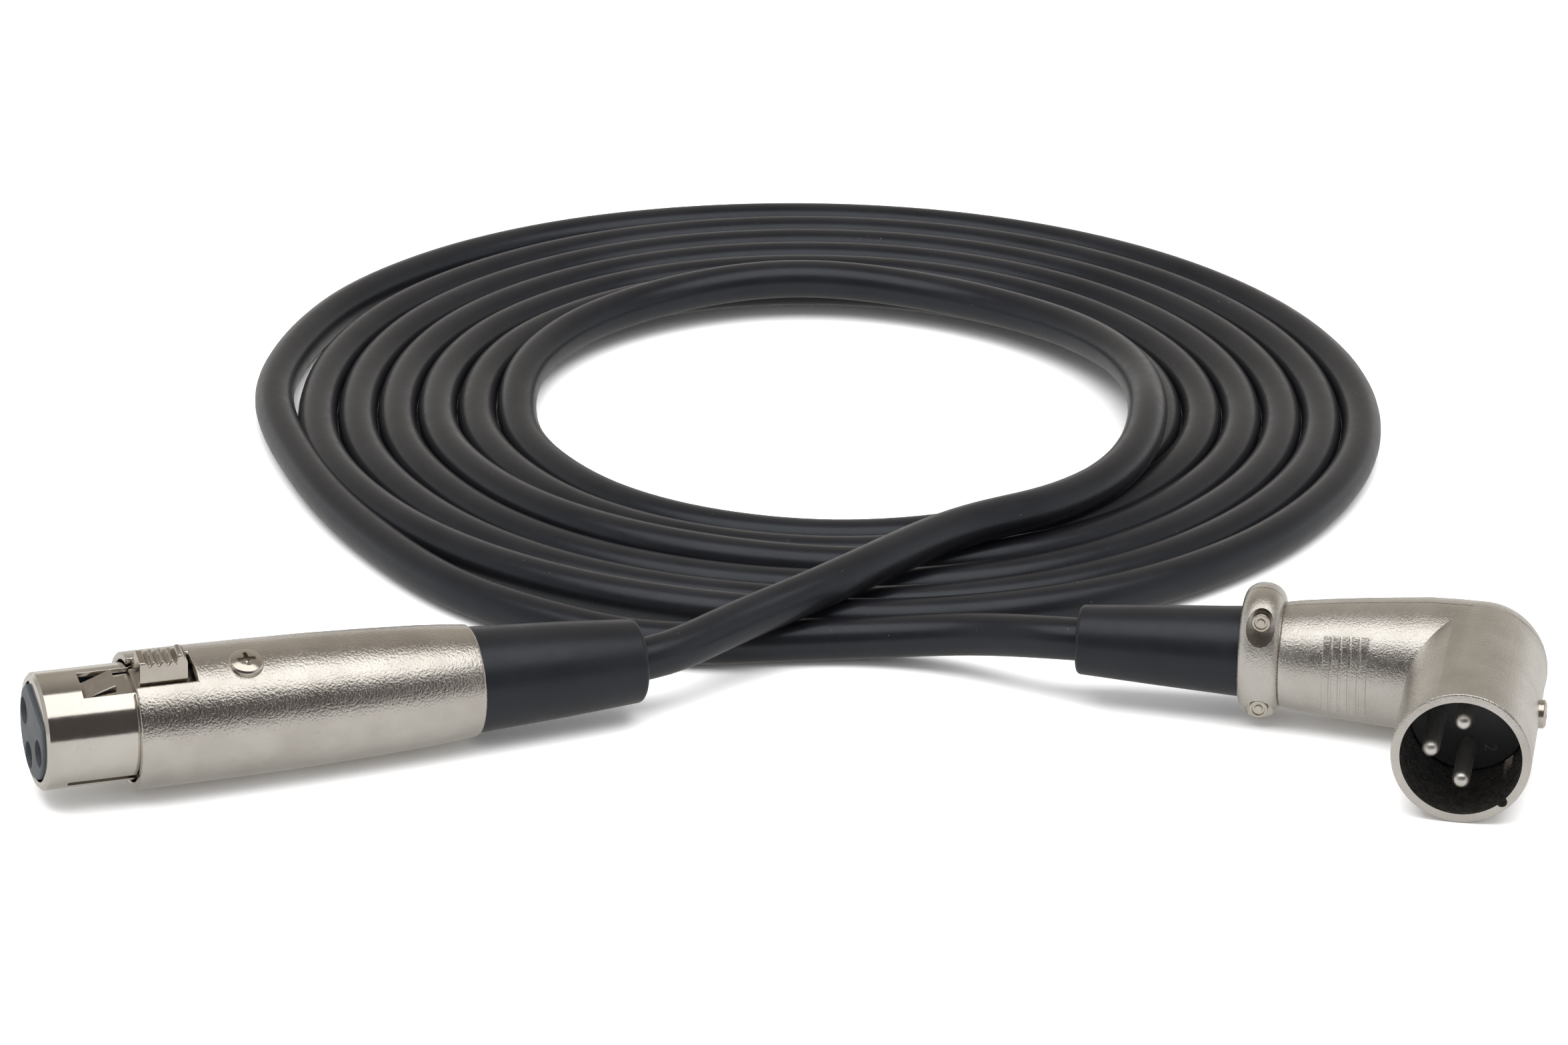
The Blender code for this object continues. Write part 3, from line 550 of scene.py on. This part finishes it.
def wall(outside, inside, openings, span, step=1.0):
    """A tube's wall with rectangular openings.

    outside and inside are (x, radius) profiles, and span is the wall's two ends. Each opening is (low x,
    high x, low angle, high angle), with its angles in degrees from +Z. The faces are about a step long.
    """
    borders = {x for opening in openings for x in opening[:2] if span[0] < x < span[1]}
    count = round((span[1] - span[0]) / step)
    evenly = {span[0] + (span[1] - span[0]) * k / count for k in range(count + 1)}
    places = sorted(borders | {x for x in evenly if all(abs(x - b) > step * 0.3 for b in borders)})
    bm = bmesh.new()
    made = {}

    def vert(layer, i, j):
        key = (layer, i, j % SIDES)
        if key not in made:
            radius = along(outside if layer else inside, places[i])
            angle = 2 * math.pi * (j % SIDES) / SIDES
            made[key] = bm.verts.new((places[i], radius * math.sin(angle), radius * math.cos(angle)))
        return made[key]

    def solid(i, j):
        if not 0 <= i < len(places) - 1:
            return False
        x = (places[i] + places[i + 1]) / 2
        angle = 360 * ((j % SIDES) + 0.5) / SIDES
        return not any(a < x < b and (c < angle < d or c < angle - 360 < d) for a, b, c, d in openings)

    for i in range(len(places) - 1):
        for j in range(SIDES):
            if not solid(i, j):
                continue
            square = [(i, j), (i + 1, j), (i + 1, j + 1), (i, j + 1)]
            bm.faces.new([vert(1, *p) for p in square])
            bm.faces.new([vert(0, *p) for p in reversed(square)])
            beyond = [(i, j - 1), (i + 1, j), (i, j + 1), (i - 1, j)]
            for k, cell in enumerate(beyond):
                if not solid(*cell):
                    a, b = square[k], square[(k + 1) % 4]
                    bm.faces.new([vert(1, *a), vert(0, *a), vert(0, *b), vert(1, *b)])
    bmesh.ops.recalc_face_normals(bm, faces=bm.faces)
    return bm


def lofted(sections):
    """A closed body through rings of points, all with the same count."""
    bm = bmesh.new()
    rings = [[bm.verts.new(point) for point in section] for section in sections]
    count = len(rings[0])
    for low, high in zip(rings, rings[1:]):
        for k in range(count):
            n = (k + 1) % count
            bm.faces.new([low[k], low[n], high[n], high[k]])
    bm.faces.new(rings[0])
    bm.faces.new(rings[-1])
    bmesh.ops.recalc_face_normals(bm, faces=bm.faces)
    return bm


def plate(outline, half_width):
    """An (x, z) outline made solid from -half_width to +half_width along Y."""
    return lofted([[(x, y, z) for x, z in outline] for y in (-half_width, half_width)])


def block(x, y, z):
    """A box from its (low, high) range along each axis."""
    bm = bmesh.new()
    bmesh.ops.create_cube(bm, size=1.0)
    for vert in bm.verts:
        vert.co = [low + (high - low) * (side + 0.5) for side, (low, high) in zip(vert.co, (x, y, z))]
    return bm


def shifted(bm, offset):
    """The same body, moved."""
    bmesh.ops.translate(bm, verts=bm.verts, vec=offset)
    return bm


def bar(start, end, radius, axis, at):
    """A round bar from start to end along an axis, moved by at."""
    outline = [(start, 0), (start, radius), (end, radius), (end, 0)]
    return shifted(turned(outline, SMALL_SIDES, axis), at)


# ---------------------------------------------------------------- objects

def finished(name, bm, material, place, sharp=SHARP):
    """A mesh object from a body in millimetres, in a connector's frame."""
    mesh = bpy.data.meshes.new(name)
    bm.transform(Matrix.Scale(MM, 4))
    bm.to_mesh(mesh)
    bm.free()
    mesh.materials.append(material)
    mesh.shade_smooth()
    mesh.set_sharp_from_angle(angle=math.radians(sharp))
    thing = bpy.data.objects.new(name, mesh)
    bpy.context.scene.collection.objects.link(thing)
    thing.matrix_world = place
    return thing


def carve(thing, operation, tools, sharp=SHARP):
    """Cuts or joins bodies with a piece, and bakes the result into its mesh."""
    for tool_bm in tools:
        tool = finished("tool", tool_bm, thing.data.materials[0], thing.matrix_world)
        step = thing.modifiers.new(operation, "BOOLEAN")
        step.operation = operation
        step.solver = "EXACT"
        step.object = tool
        bpy.context.view_layer.update()
        result = thing.evaluated_get(bpy.context.evaluated_depsgraph_get())
        mesh = bpy.data.meshes.new_from_object(result)
        mesh.name = thing.name
        thing.modifiers.clear()
        thing.data = mesh
        bpy.data.objects.remove(tool, do_unlink=True)
    thing.data.shade_smooth()
    thing.data.set_sharp_from_angle(angle=math.radians(sharp))


def soften(thing, width, segments):
    """Rounds the sharp edges of a piece by a width in millimetres."""
    bevel = thing.modifiers.new("edges", "BEVEL")
    bevel.width = width * MM
    bevel.segments = segments
    bevel.limit_method = "ANGLE"
    bevel.angle_limit = math.radians(BEVEL_FROM)
    bevel.harden_normals = True


def stands_for(thing, body, slot, *nodes):
    """Puts a piece on its body, in place of the CAD nodes named; its slot is not used."""
    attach(thing, body)
    if nodes:
        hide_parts(*nodes)


def keep(material, *names):
    """A CAD node that stays gets a fuller material."""
    for name in names:
        for slot in frame["nodes"][name].material_slots:
            slot.material = material


# ---------------------------------------------------------------- cable

def coil_point(turn):
    """The cable's centre on the coil, from turn 0 at the innermost turn's left by way of the front."""
    hour = (turn % 1) * len(COIL_RADII)
    low = int(hour)
    blend = (1 - math.cos(math.pi * (hour - low))) / 2
    first, second = COIL_RADII[low], COIL_RADII[(low + 1) % len(COIL_RADII)]
    radius = first + (second - first) * blend + COIL_PITCH * turn
    height = CABLE_R
    for at, width, up, out in COIL_QUIRKS:
        share = math.exp(-((turn - at) / width) ** 2)
        radius += out * share
        height += up * share
    angle = math.pi * (1 + 2 * turn)
    return (COIL_CENTRE[0] + radius * math.cos(angle), COIL_CENTRE[1] + radius * math.sin(angle), height)


def boot_exit(place, x, further):
    """A point on a connector's cable axis, some way out of its boot, in millimetres."""
    return tuple(place @ Vector(((x - further) * MM, 0, 0)) / MM)


def cable_route():
    """Evenly spaced points of the whole centreline, from the female boot to the male one."""
    count = COIL_TURNS * COIL_POINTS_PER_TURN
    coil = [coil_point(k / COIL_POINTS_PER_TURN) for k in range(1, count + 1)]
    start = [boot_exit(FEMALE, FEMALE_BOOT_REAR_X, d) for d in (-IN_BOOT, STRAIGHT_OUT)]
    stop = [boot_exit(MALE, MALE_BOOT_REAR_X, d) for d in (STRAIGHT_OUT, -IN_BOOT)]
    knots = [Vector(p) for p in (*start, *FEMALE_LEAD, *coil, *MALE_LEAD, *stop)]
    knots = [2 * knots[0] - knots[1], *knots, 2 * knots[-1] - knots[-2]]
    fine = []
    for a, b, c, d in zip(knots, knots[1:], knots[2:], knots[3:]):
        for k in range(SPLINE_STEPS):
            u = k / SPLINE_STEPS
            fine.append(0.5 * (2 * b + (c - a) * u + (2 * a - 5 * b + 4 * c - d) * u ** 2
                               + (3 * b - a - 3 * c + d) * u ** 3))
    fine.append(knots[-2])
    points = evenly_spaced(fine, CABLE_STEP)
    for _ in range(SMOOTHING_PASSES):
        between = [(a + 2 * b + c) / 4 for a, b, c in zip(points, points[1:], points[2:])]
        points = [points[0], *between, points[-1]]
    return points


def evenly_spaced(points, step):
    """Points along the same line, about a step apart."""
    total = sum((q - p).length for p, q in zip(points, points[1:]))
    count = round(total / step)
    made, travelled, target = [points[0]], 0.0, total / count
    for p, q in zip(points, points[1:]):
        span = (q - p).length
        while travelled + span >= target - 1e-9 and len(made) < count:
            made.append(p.lerp(q, (target - travelled) / span))
            target += total / count
        travelled += span
    return [*made, points[-1]]


def make_cable(materials):
    """The whole cable as one tube, from inside one boot to inside the other."""
    route = cable_route()
    curve = bpy.data.curves.new("cable", "CURVE")
    curve.dimensions = "3D"
    curve.bevel_depth = CABLE_R * MM
    curve.bevel_resolution = 10
    curve.use_fill_caps = True
    spline = curve.splines.new("POLY")
    spline.points.add(len(route) - 1)
    for slot, point in zip(spline.points, route):
        slot.co = (*(point * MM), 1.0)
    curve.materials.append(materials["cable_jacket"])
    cable = bpy.data.objects.new("cable_jacket", curve)
    bpy.context.scene.collection.objects.link(cable)
    stands_for(cable, ROOT, "cable_jacket", "cable_coil", "cable_lead_female", "cable_lead_male")


# ---------------------------------------------------------------- female connector

def female_barrel(materials):
    """The barrel, open at the top of its front rim for the button."""
    outside = [(BARREL_REAR_X, 7.6), (-45.0, 7.95), (-41.0, 8.27), (-33.8, 8.65), (-25.7, 8.97),
               (-16.5, 9.17), (-8.0, 9.25), (0.0, 9.25)]
    inside = [(BARREL_REAR_X, 6.5), (-38.0, 6.5), (-32.0, 7.4), (-19.0, 7.4), (-18.9, 8.2), (0.0, 8.2)]
    slot = (BARREL_SLOT_X, 0.5, -BARREL_SLOT_ANGLE, BARREL_SLOT_ANGLE)
    barrel = finished("female_barrel", wall(outside, inside, [slot], (BARREL_REAR_X, 0.0)),
                      materials["satin_nickel"], FEMALE)
    soften(barrel, 0.35, 4)
    stands_for(barrel, ROOT, "satin_nickel", "female_shell")


def female_sleeve(materials):
    """The sleeve, with windows for the latch's arm and wedge and a slot, and the flat of its lip."""
    rear, front = SLEEVE_X
    outside = [(rear, SLEEVE_R), (front - 0.4, SLEEVE_R), (front, SLEEVE_R - 0.45)]
    inside = [(rear, SLEEVE_BORE_R), (SLEEVE_LIP_X, SLEEVE_BORE_R), (SLEEVE_LIP_X + 0.01, SLEEVE_LIP_R),
              (front, SLEEVE_LIP_R)]
    arm_window = (-11.0, -0.5, -19, 19)
    wedge_window = (-0.5, 6.7, -17, 17)
    slot = (-1.0, 9.2, 113.7, 122.3)
    tube = wall(outside, inside, [arm_window, wedge_window, slot], SLEEVE_X, step=0.4)
    sleeve = finished("female_sleeve_front", tube, materials["polished_nickel"], FEMALE)
    soften(sleeve, 0.12, 2)
    stands_for(sleeve, ROOT, "polished_nickel", "female_sleeve")
    reach = math.acos(SLEEVE_FLAT_Z / SLEEVE_BORE_R)
    angles = [reach * (k / 16 - 1) for k in range(33)]
    flat = plate([(SLEEVE_BORE_R * math.sin(a), SLEEVE_BORE_R * math.cos(a)) for a in angles], 0.3)
    flat.transform(Matrix.Rotation(math.pi / 2, 4, "Z"))
    lip = finished("female_sleeve_flat", shifted(flat, (front - 0.35, 0, 0)),
                   materials["polished_nickel"], FEMALE)
    soften(lip, 0.08, 2)
    stands_for(lip, ROOT, "polished_nickel")


def pole_places():
    """The (y, z) of the female contacts 1 to 3."""
    return [(POLE_CIRCLE_R, 0), (-POLE_CIRCLE_R, 0), (0, -POLE_CIRCLE_R)]


def female_insert(materials):
    """The insert, cut away for the lever, its pin, the lip's flat and the three contacts."""
    rear, face = SLEEVE_X[0], FEMALE_FACE_X
    outline = rounded([(rear, 0), (rear, 6.9), (INSERT_STEP_X, 6.9, 0.2), (INSERT_STEP_X, 6.4),
                       (face, 6.4, 0.3), (face, 0)])
    insert = finished("female_insert_block", turned(outline), materials["front_plastic"], FEMALE)
    lever_room = block((-12.6, 9.2), (-3.1, 3.1), (3.2, 8.0))
    flat = block((INSERT_STEP_X - 0.1, 14.0), (-8, 8), (INSERT_FLAT_Z, 8.0))
    pin_hole = bar(-4.2, 4.2, LATCH_PIN_HOLE_R, "Y", (LATCH_PIN[0], 0, LATCH_PIN[1]))
    bores = [bar(-20.0, 16.0, SOCKET_R, "X", (0, y, z)) for y, z in pole_places()]
    carve(insert, "DIFFERENCE", [lever_room, flat, pin_hole, *bores])
    stands_for(insert, ROOT, "insert_plastic", "female_insert")
    socket = [(-20.5, 0), (-20.5, 1.55), (face - 1.2, 1.55), (face - 1.0, 1.5), (face - 1.0, 1.3),
              (face - 1.2, 1.25), (1.0, 1.25), (1.0, 0)]
    for number, (y, z) in enumerate(pole_places(), 1):
        contact = finished(f"female_socket_{number}", shifted(turned(socket, SMALL_SIDES), (0, y, z)),
                           materials["contact_metal"], FEMALE)
        stands_for(contact, ROOT, "contact_metal", f"socket_contact_{number}")


def button_top(x):
    """The crown's height: scooped grooves between crests, with the rear crest a little higher."""
    groove = BUTTON_TOP_Z - GROOVE_DEPTH
    if x < FIRST_GROOVE_X:
        rise = math.sin(math.pi * min(1.0, 0.15 + (FIRST_GROOVE_X - x) / REAR_CREST_LENGTH) ** 0.8)
        return groove + (BUTTON_REAR_Z - groove) * max(0.0, rise)
    if x > FIRST_GROOVE_X + (BUTTON_GROOVES - 0.5) * GROOVE_PITCH:
        return BUTTON_TOP_Z
    wave = (1 + math.cos(2 * math.pi * (x - FIRST_GROOVE_X) / GROOVE_PITCH)) / 2
    return BUTTON_TOP_Z - GROOVE_DEPTH * wave ** 0.8


def female_latch(materials):
    """The lever with its push button and wedge nose."""
    low, high = BUTTON_X
    between = [low + 0.15 + BUTTON_STATION * k for k in range(90)]
    sections = []
    for x in (low, low + 0.06, *between, high - 0.06, high):
        drawn_in = BUTTON_EDGE if x in BUTTON_X else 0.0
        top = button_top(x) - drawn_in
        wide = BUTTON_HALF_WIDTH - drawn_in
        narrow = wide - BUTTON_LEAN * (top - BUTTON_SHOULDER_Z)
        shape = [(wide, 6.3), (wide, BUTTON_SHOULDER_Z, 0.5), (narrow, top, 0.3),
                 (-narrow, top, 0.3), (-wide, BUTTON_SHOULDER_Z, 0.5), (-wide, 6.3)]
        sections.append([(x, y, z) for y, z in rounded(shape, closed=True)])
    arm = [(-10.7, 4.1), (-8.3, 4.1), (7.2, 5.1), (7.2, 5.9), (6.7, 6.2), (1.95, 6.8), (-0.1, 6.9),
           (-0.3, 7.6), (-1.0, 7.7), (-1.0, 6.7), (-10.7, 6.7)]
    wedge = [(1.95, 6.3), (2.2, 8.25), (2.5, 8.25), (6.7, 6.25), (7.0, 5.6), (5.0, 5.4)]
    button = finished("latch_button", lofted(sections), materials["worn_nickel"], FEMALE, sharp=40)
    stands_for(button, LATCH, "polished_nickel", "latch_lever")
    for name, outline, half_width in (("latch_arm", arm, 2.0), ("latch_wedge", wedge, 1.6)):
        part = finished(name, plate(outline, half_width), materials["worn_nickel"], FEMALE)
        soften(part, 0.12, 2)
        stands_for(part, LATCH, "polished_nickel")


def cross_recess(x, y, floor, top):
    """Cutters for a cross recess in a screw head that faces +Z: its two bars and a tapered middle."""
    long_x, long_y = [(at - RECESS_REACH, at + RECESS_REACH) for at in (x, y)]
    thin_x, thin_y = [(at - RECESS_HALF, at + RECESS_HALF) for at in (x, y)]
    taper = [(floor - 0.3, 0), (floor, 0.35), (top, 0.8), (top, 0)]
    return [block(long_x, thin_y, (floor, top)), block(thin_x, long_y, (floor, top)),
            shifted(turned(taper, SMALL_SIDES // 2, "Z"), (x, y, 0))]


def female_screw(materials):
    """The shell screw, a low dome through the barrel."""
    x, y = FEMALE_SCREW
    root = FEMALE_SCREW_ROOT_Z
    dome = [(root, 0), (root, 2.35), (9.35, 2.35, 0.12), (9.62, 2.15, 0.3), (9.95, 1.2, 2.0), (10.0, 0)]
    screw = finished("female_screw", shifted(turned(rounded(dome), SMALL_SIDES * 2, "Z"), (x, y, 0)),
                     materials["worn_nickel"], FEMALE)
    carve(screw, "DIFFERENCE", cross_recess(x, y, RECESS_FLOOR_Z, 11.0))
    stands_for(screw, ROOT, "polished_nickel", "female_shell_screw")


def female_boot(materials):
    """The boot, a tapering tube whose collar runs on inside the barrel."""
    rear, front = FEMALE_BOOT_REAR_X, BARREL_REAR_X + 0.2
    outline = rounded([(rear, CABLE_R + 0.05), (rear, 5.75, 0.75), (-61.0, 6.55, 20.0), (front, 7.3),
                       (front, 6.1), (-42.0, 6.1), (-42.0, CABLE_R + 0.3)], steps=6)
    boot = finished("female_boot_rubber", turned(outline), materials["boot_rubber"], FEMALE)
    stands_for(boot, ROOT, "boot_rubber", "female_boot")


def make_female(materials):
    female_barrel(materials)
    female_sleeve(materials)
    female_insert(materials)
    female_latch(materials)
    female_screw(materials)
    female_boot(materials)
    keep(materials["spring_steel"], "latch_pin", "latch_spring")
    keep(materials["insert_plastic"], "female_cable_grip")


# ---------------------------------------------------------------- male connector

def casting_outline():
    """The casting along the cable: a widening body that ends in a ball at the elbow."""
    ball_r, ball_x = 9.2, 0.2
    body = [(BODY_END_X, 0), (BODY_END_X, 7.2, 0.3), (-24.3, 7.6), (-20.0, 8.1), (-15.5, 8.55), (-12.0, 8.85),
            (-7.0, 9.25), (-3.0, 9.28), (-0.8, ball_r + 0.02)]
    turn = [math.radians(5 * k) for k in range(18)]
    ball = [(ball_x + ball_r * math.sin(a), ball_r * math.cos(a)) for a in turn]
    return [*rounded(body), *ball, (ball_x + ball_r, 0)]


def male_casting(materials):
    """The housing with its pin shell, the back cover that closes it, and the ribs on its front."""
    mouth = -SHELL_LENGTH
    shell = rounded([(mouth, 0), (mouth, ELBOW_R, 0.25), (0.0, ELBOW_R), (0.0, 0)])
    inner = MALE_INSERT_REAR_Y
    bore = rounded([(mouth - 2, 0), (mouth - 2, SHELL_BORE_R), (inner, SHELL_BORE_R), (inner, 0)])
    key = math.radians(KEYWAY_ANGLE)
    groove = bar(mouth - 3, MALE_FACE[1], KEYWAY_R, "Y",
                 (SHELL_BORE_R * math.cos(key), 0, SHELL_BORE_R * math.sin(key)))
    housing = finished("male_casting", turned(casting_outline()), materials["cast_nickel"], MALE)
    carve(housing, "UNION", [turned(shell, axis="Y")])
    rear_half = block(CUT_X, (-SEAM_HALF_GAP, CUT_REACH), (-CUT_REACH, CUT_REACH))
    carve(housing, "DIFFERENCE", [turned(bore, axis="Y"), groove, rear_half], sharp=28)
    stands_for(housing, ROOT, "satin_nickel", "male_housing")
    cover = finished("male_cover", turned(casting_outline()), materials["cast_nickel"], MALE)
    front_half = block(CUT_X, (-CUT_REACH, SEAM_HALF_GAP), (-CUT_REACH, CUT_REACH))
    carve(cover, "DIFFERENCE", [front_half], sharp=28)
    stands_for(cover, ROOT, "satin_nickel", "male_back_cover")
    for number in range(RIBS):
        rib = finished(f"male_rib_{number + 1}", grip_rib(FIRST_RIB_X + RIB_PITCH * number),
                       materials["cast_nickel"], MALE)
        soften(rib, 0.12, 2)
        stands_for(rib, ROOT, "satin_nickel")


def grip_rib(x):
    """One upright rib on the casting's front: it follows the round body and stands proudest at its top."""
    body = along(casting_outline(), x)
    sections = []
    first, last = RIB_ANGLES
    back, front = x - RIB_HALF_WIDTH, x + RIB_HALF_WIDTH
    for k in range(RIB_SECTIONS + 1):
        share = k / RIB_SECTIONS
        angle = math.radians(first + (last - first) * share)
        out = body + RIB_HEIGHT - RIB_FALL * min(1.0, share * 3)
        low = body - RIB_ROOT
        corners = [(back, low), (front, low), (front, out), (back, out)]
        sections.append([(px, -r * math.sin(angle), r * math.cos(angle)) for px, r in corners])
    return lofted(sections)


def male_insert(materials):
    """The insert's disc, its three pins and the one numeral that shows."""
    face, rear = MALE_FACE[1], MALE_INSERT_REAR_Y
    edge = SHELL_BORE_R - 0.05
    disc = rounded([(face, 0), (face, edge, 0.3), (rear, edge), (rear, 0)])
    insert = finished("male_insert_disc", turned(disc, axis="Y"), materials["insert_plastic"], MALE)
    stands_for(insert, ROOT, "insert_plastic", "male_insert")
    turn = [math.radians(10 * k) for k in range(10)]
    ball = [(MALE_PIN_TIP_Y + PIN_R - PIN_R * math.cos(a), PIN_R * math.sin(a)) for a in turn]
    for number, (x, z) in enumerate([(0, POLE_CIRCLE_R), (0, -POLE_CIRCLE_R), (-POLE_CIRCLE_R, 0)], 1):
        solid = shifted(turned([*ball, (rear, PIN_R), (rear, 0)], SMALL_SIDES, "Y"), (x, 0, z))
        pin = finished(f"male_pin_{number}", solid, materials["pin_metal"], MALE)
        stands_for(pin, ROOT, "contact_metal", f"contact_pin_{number}")
    numeral("2", (3.0, face - 0.02, -4.5), materials)


def numeral(text, place, materials):
    """A pole number on the male insert's face, lying on its side."""
    curve = bpy.data.curves.new("numeral_" + text, "FONT")
    curve.body = text
    curve.size = NUMERAL_SIZE * MM
    curve.extrude = NUMERAL_HALF_DEPTH * MM
    curve.align_x = "CENTER"
    curve.align_y = "CENTER"
    writing = bpy.data.objects.new("numeral_" + text, curve)
    bpy.context.scene.collection.objects.link(writing)
    upright = Matrix.Rotation(math.pi / 2, 4, "X") @ Matrix.Rotation(-math.pi / 2, 4, "Z")
    writing.matrix_world = MALE @ Matrix.Translation(Vector(place) * MM) @ upright
    bpy.context.view_layer.update()
    mesh = bpy.data.meshes.new_from_object(writing.evaluated_get(bpy.context.evaluated_depsgraph_get()))
    mesh.materials.append(materials["front_plastic"])
    solid = bpy.data.objects.new("male_numeral_" + text, mesh)
    bpy.context.scene.collection.objects.link(solid)
    solid.matrix_world = writing.matrix_world
    bpy.data.objects.remove(writing, do_unlink=True)
    stands_for(solid, ROOT, "insert_plastic")


def elbow_screw(materials):
    """The slotted screw in the side of the pin shell."""
    y = INSERT_SCREW_Y
    head = rounded([(7.0, 0), (7.0, 1.95), (9.85, 1.95, 0.2), (10.15, 1.6, 0.5), (10.2, 0)])
    screw = finished("male_side_screw", shifted(turned(head, SMALL_SIDES), (0, y, 0)),
                     materials["worn_nickel"], MALE)
    carve(screw, "DIFFERENCE", [block((9.85, 12.0), (y - 1.3, y + 1.3), (-0.25, 0.25))])
    stands_for(screw, ROOT, "polished_nickel", "insert_screw")


def clamp_section(depth_share, height_share, front):
    """The clamp's outline across the cable, a share of its full depth and height."""
    sign = -1 if front else 1
    points = []
    for k in range(33):
        angle = math.radians(-90 + 180 * k / 32)
        y = CLAMP_HALF_DEPTH * depth_share * math.cos(angle) ** 0.8
        z = CLAMP_HALF_HEIGHT * height_share * math.sin(angle) + CLAMP_RISE
        points.append((sign * max(y, CLAMP_SPLIT), z))
    return points


def male_clamp(materials):
    """The clamp's two halves round the boot, and their two screws."""
    low, high = CLAMP_X
    x = CLAMP_SCREW_X
    turn = [math.radians(90 * k / 8) for k in range(9)]
    rounding = [(CLAMP_EDGE * (1 - math.cos(a)), math.sin(a)) for a in turn]
    shares = [(low + run, lift) for run, lift in rounding]
    shares += [(high - run, lift) for run, lift in reversed(rounding)]
    for name, front in (("clamp_front", True), ("clamp_rear", False)):
        rings = []
        for place, lift in shares:
            depth = CLAMP_END_DEPTH + (1 - CLAMP_END_DEPTH) * lift
            height = CLAMP_END_HEIGHT + (1 - CLAMP_END_HEIGHT) * lift
            outline = clamp_section(depth, height, front)
            rings.append([(place, y, z) for y, z in outline])
        half = finished("male_" + name, lofted(rings), materials["cast_nickel"], MALE)
        tools = [screw_recess(x, z) for z in CLAMP_SCREW_Z] if front else []
        tools.append(bar(low - 2, high + 2, CLAMP_BORE_R, "X", (0, 0, 0)))
        carve(half, "DIFFERENCE", tools, sharp=35)
        stands_for(half, ROOT, "satin_nickel", name)
    stud = rounded([(-5.4, 0), (-5.4, 0.5), (-5.1, 0.6), (-5.1, 0.85), (-5.4, 0.95), (-5.4, 1.3, 0.2),
                    (-4.0, 1.3), (-4.0, 1.0), (4.0, 1.0), (4.0, 0)])
    for name, z in zip(("clamp_screw_top", "clamp_screw_bottom"), CLAMP_SCREW_Z):
        screw = finished("male_" + name, shifted(turned(stud, SMALL_SIDES, "Y"), (x, 0, z)),
                         materials["worn_nickel"], MALE)
        stands_for(screw, ROOT, "polished_nickel", name)


def screw_recess(x, z):
    """A cutter for the tall oval that a clamp screw sits in, in the front of the clamp."""
    oval = bar(-20, -3.3, CLAMP_RECESS_R, "Y", (0, 0, 0))
    oval.transform(Matrix.Diagonal((1, 1, CLAMP_RECESS_STRETCH, 1)))
    return shifted(oval, (x, 0, z - CLAMP_RECESS_DROP))


def male_boot(materials):
    """The boot, a tapering tube whose collar runs on inside the clamp."""
    rear, front = MALE_BOOT_REAR_X, CLAMP_X[0] + 0.2
    outline = rounded([(rear, CABLE_R + 0.05), (rear, 4.78, 0.7), (-43.5, 5.55, 20.0), (front, 6.25),
                       (front, 4.5), (-27.5, 4.5), (-27.5, CABLE_R + 0.3)], steps=6)
    boot = finished("male_boot_rubber", turned(outline), materials["boot_rubber"], MALE)
    stands_for(boot, ROOT, "boot_rubber", "male_boot")


def make_male(materials):
    male_casting(materials)
    male_insert(materials)
    elbow_screw(materials)
    male_clamp(materials)
    male_boot(materials)


def dress_cores(materials):
    """The cable's ends and cores inside the connectors stay as they are in the CAD."""
    for end in ("female", "male"):
        keep(materials["cable_jacket"], end + "_cable_tail")
        keep(materials["wire_red"], end + "_wire_hot")
        keep(materials["wire_white"], end + "_wire_cold")
        keep(materials["wire_bare"], end + "_wire_shield")


bpy.context.scene.view_settings.view_transform = "Standard"
make_camera()
materials = make_materials()
make_cable(materials)
make_floor()
make_light()
make_female(materials)
make_male(materials)
dress_cores(materials)
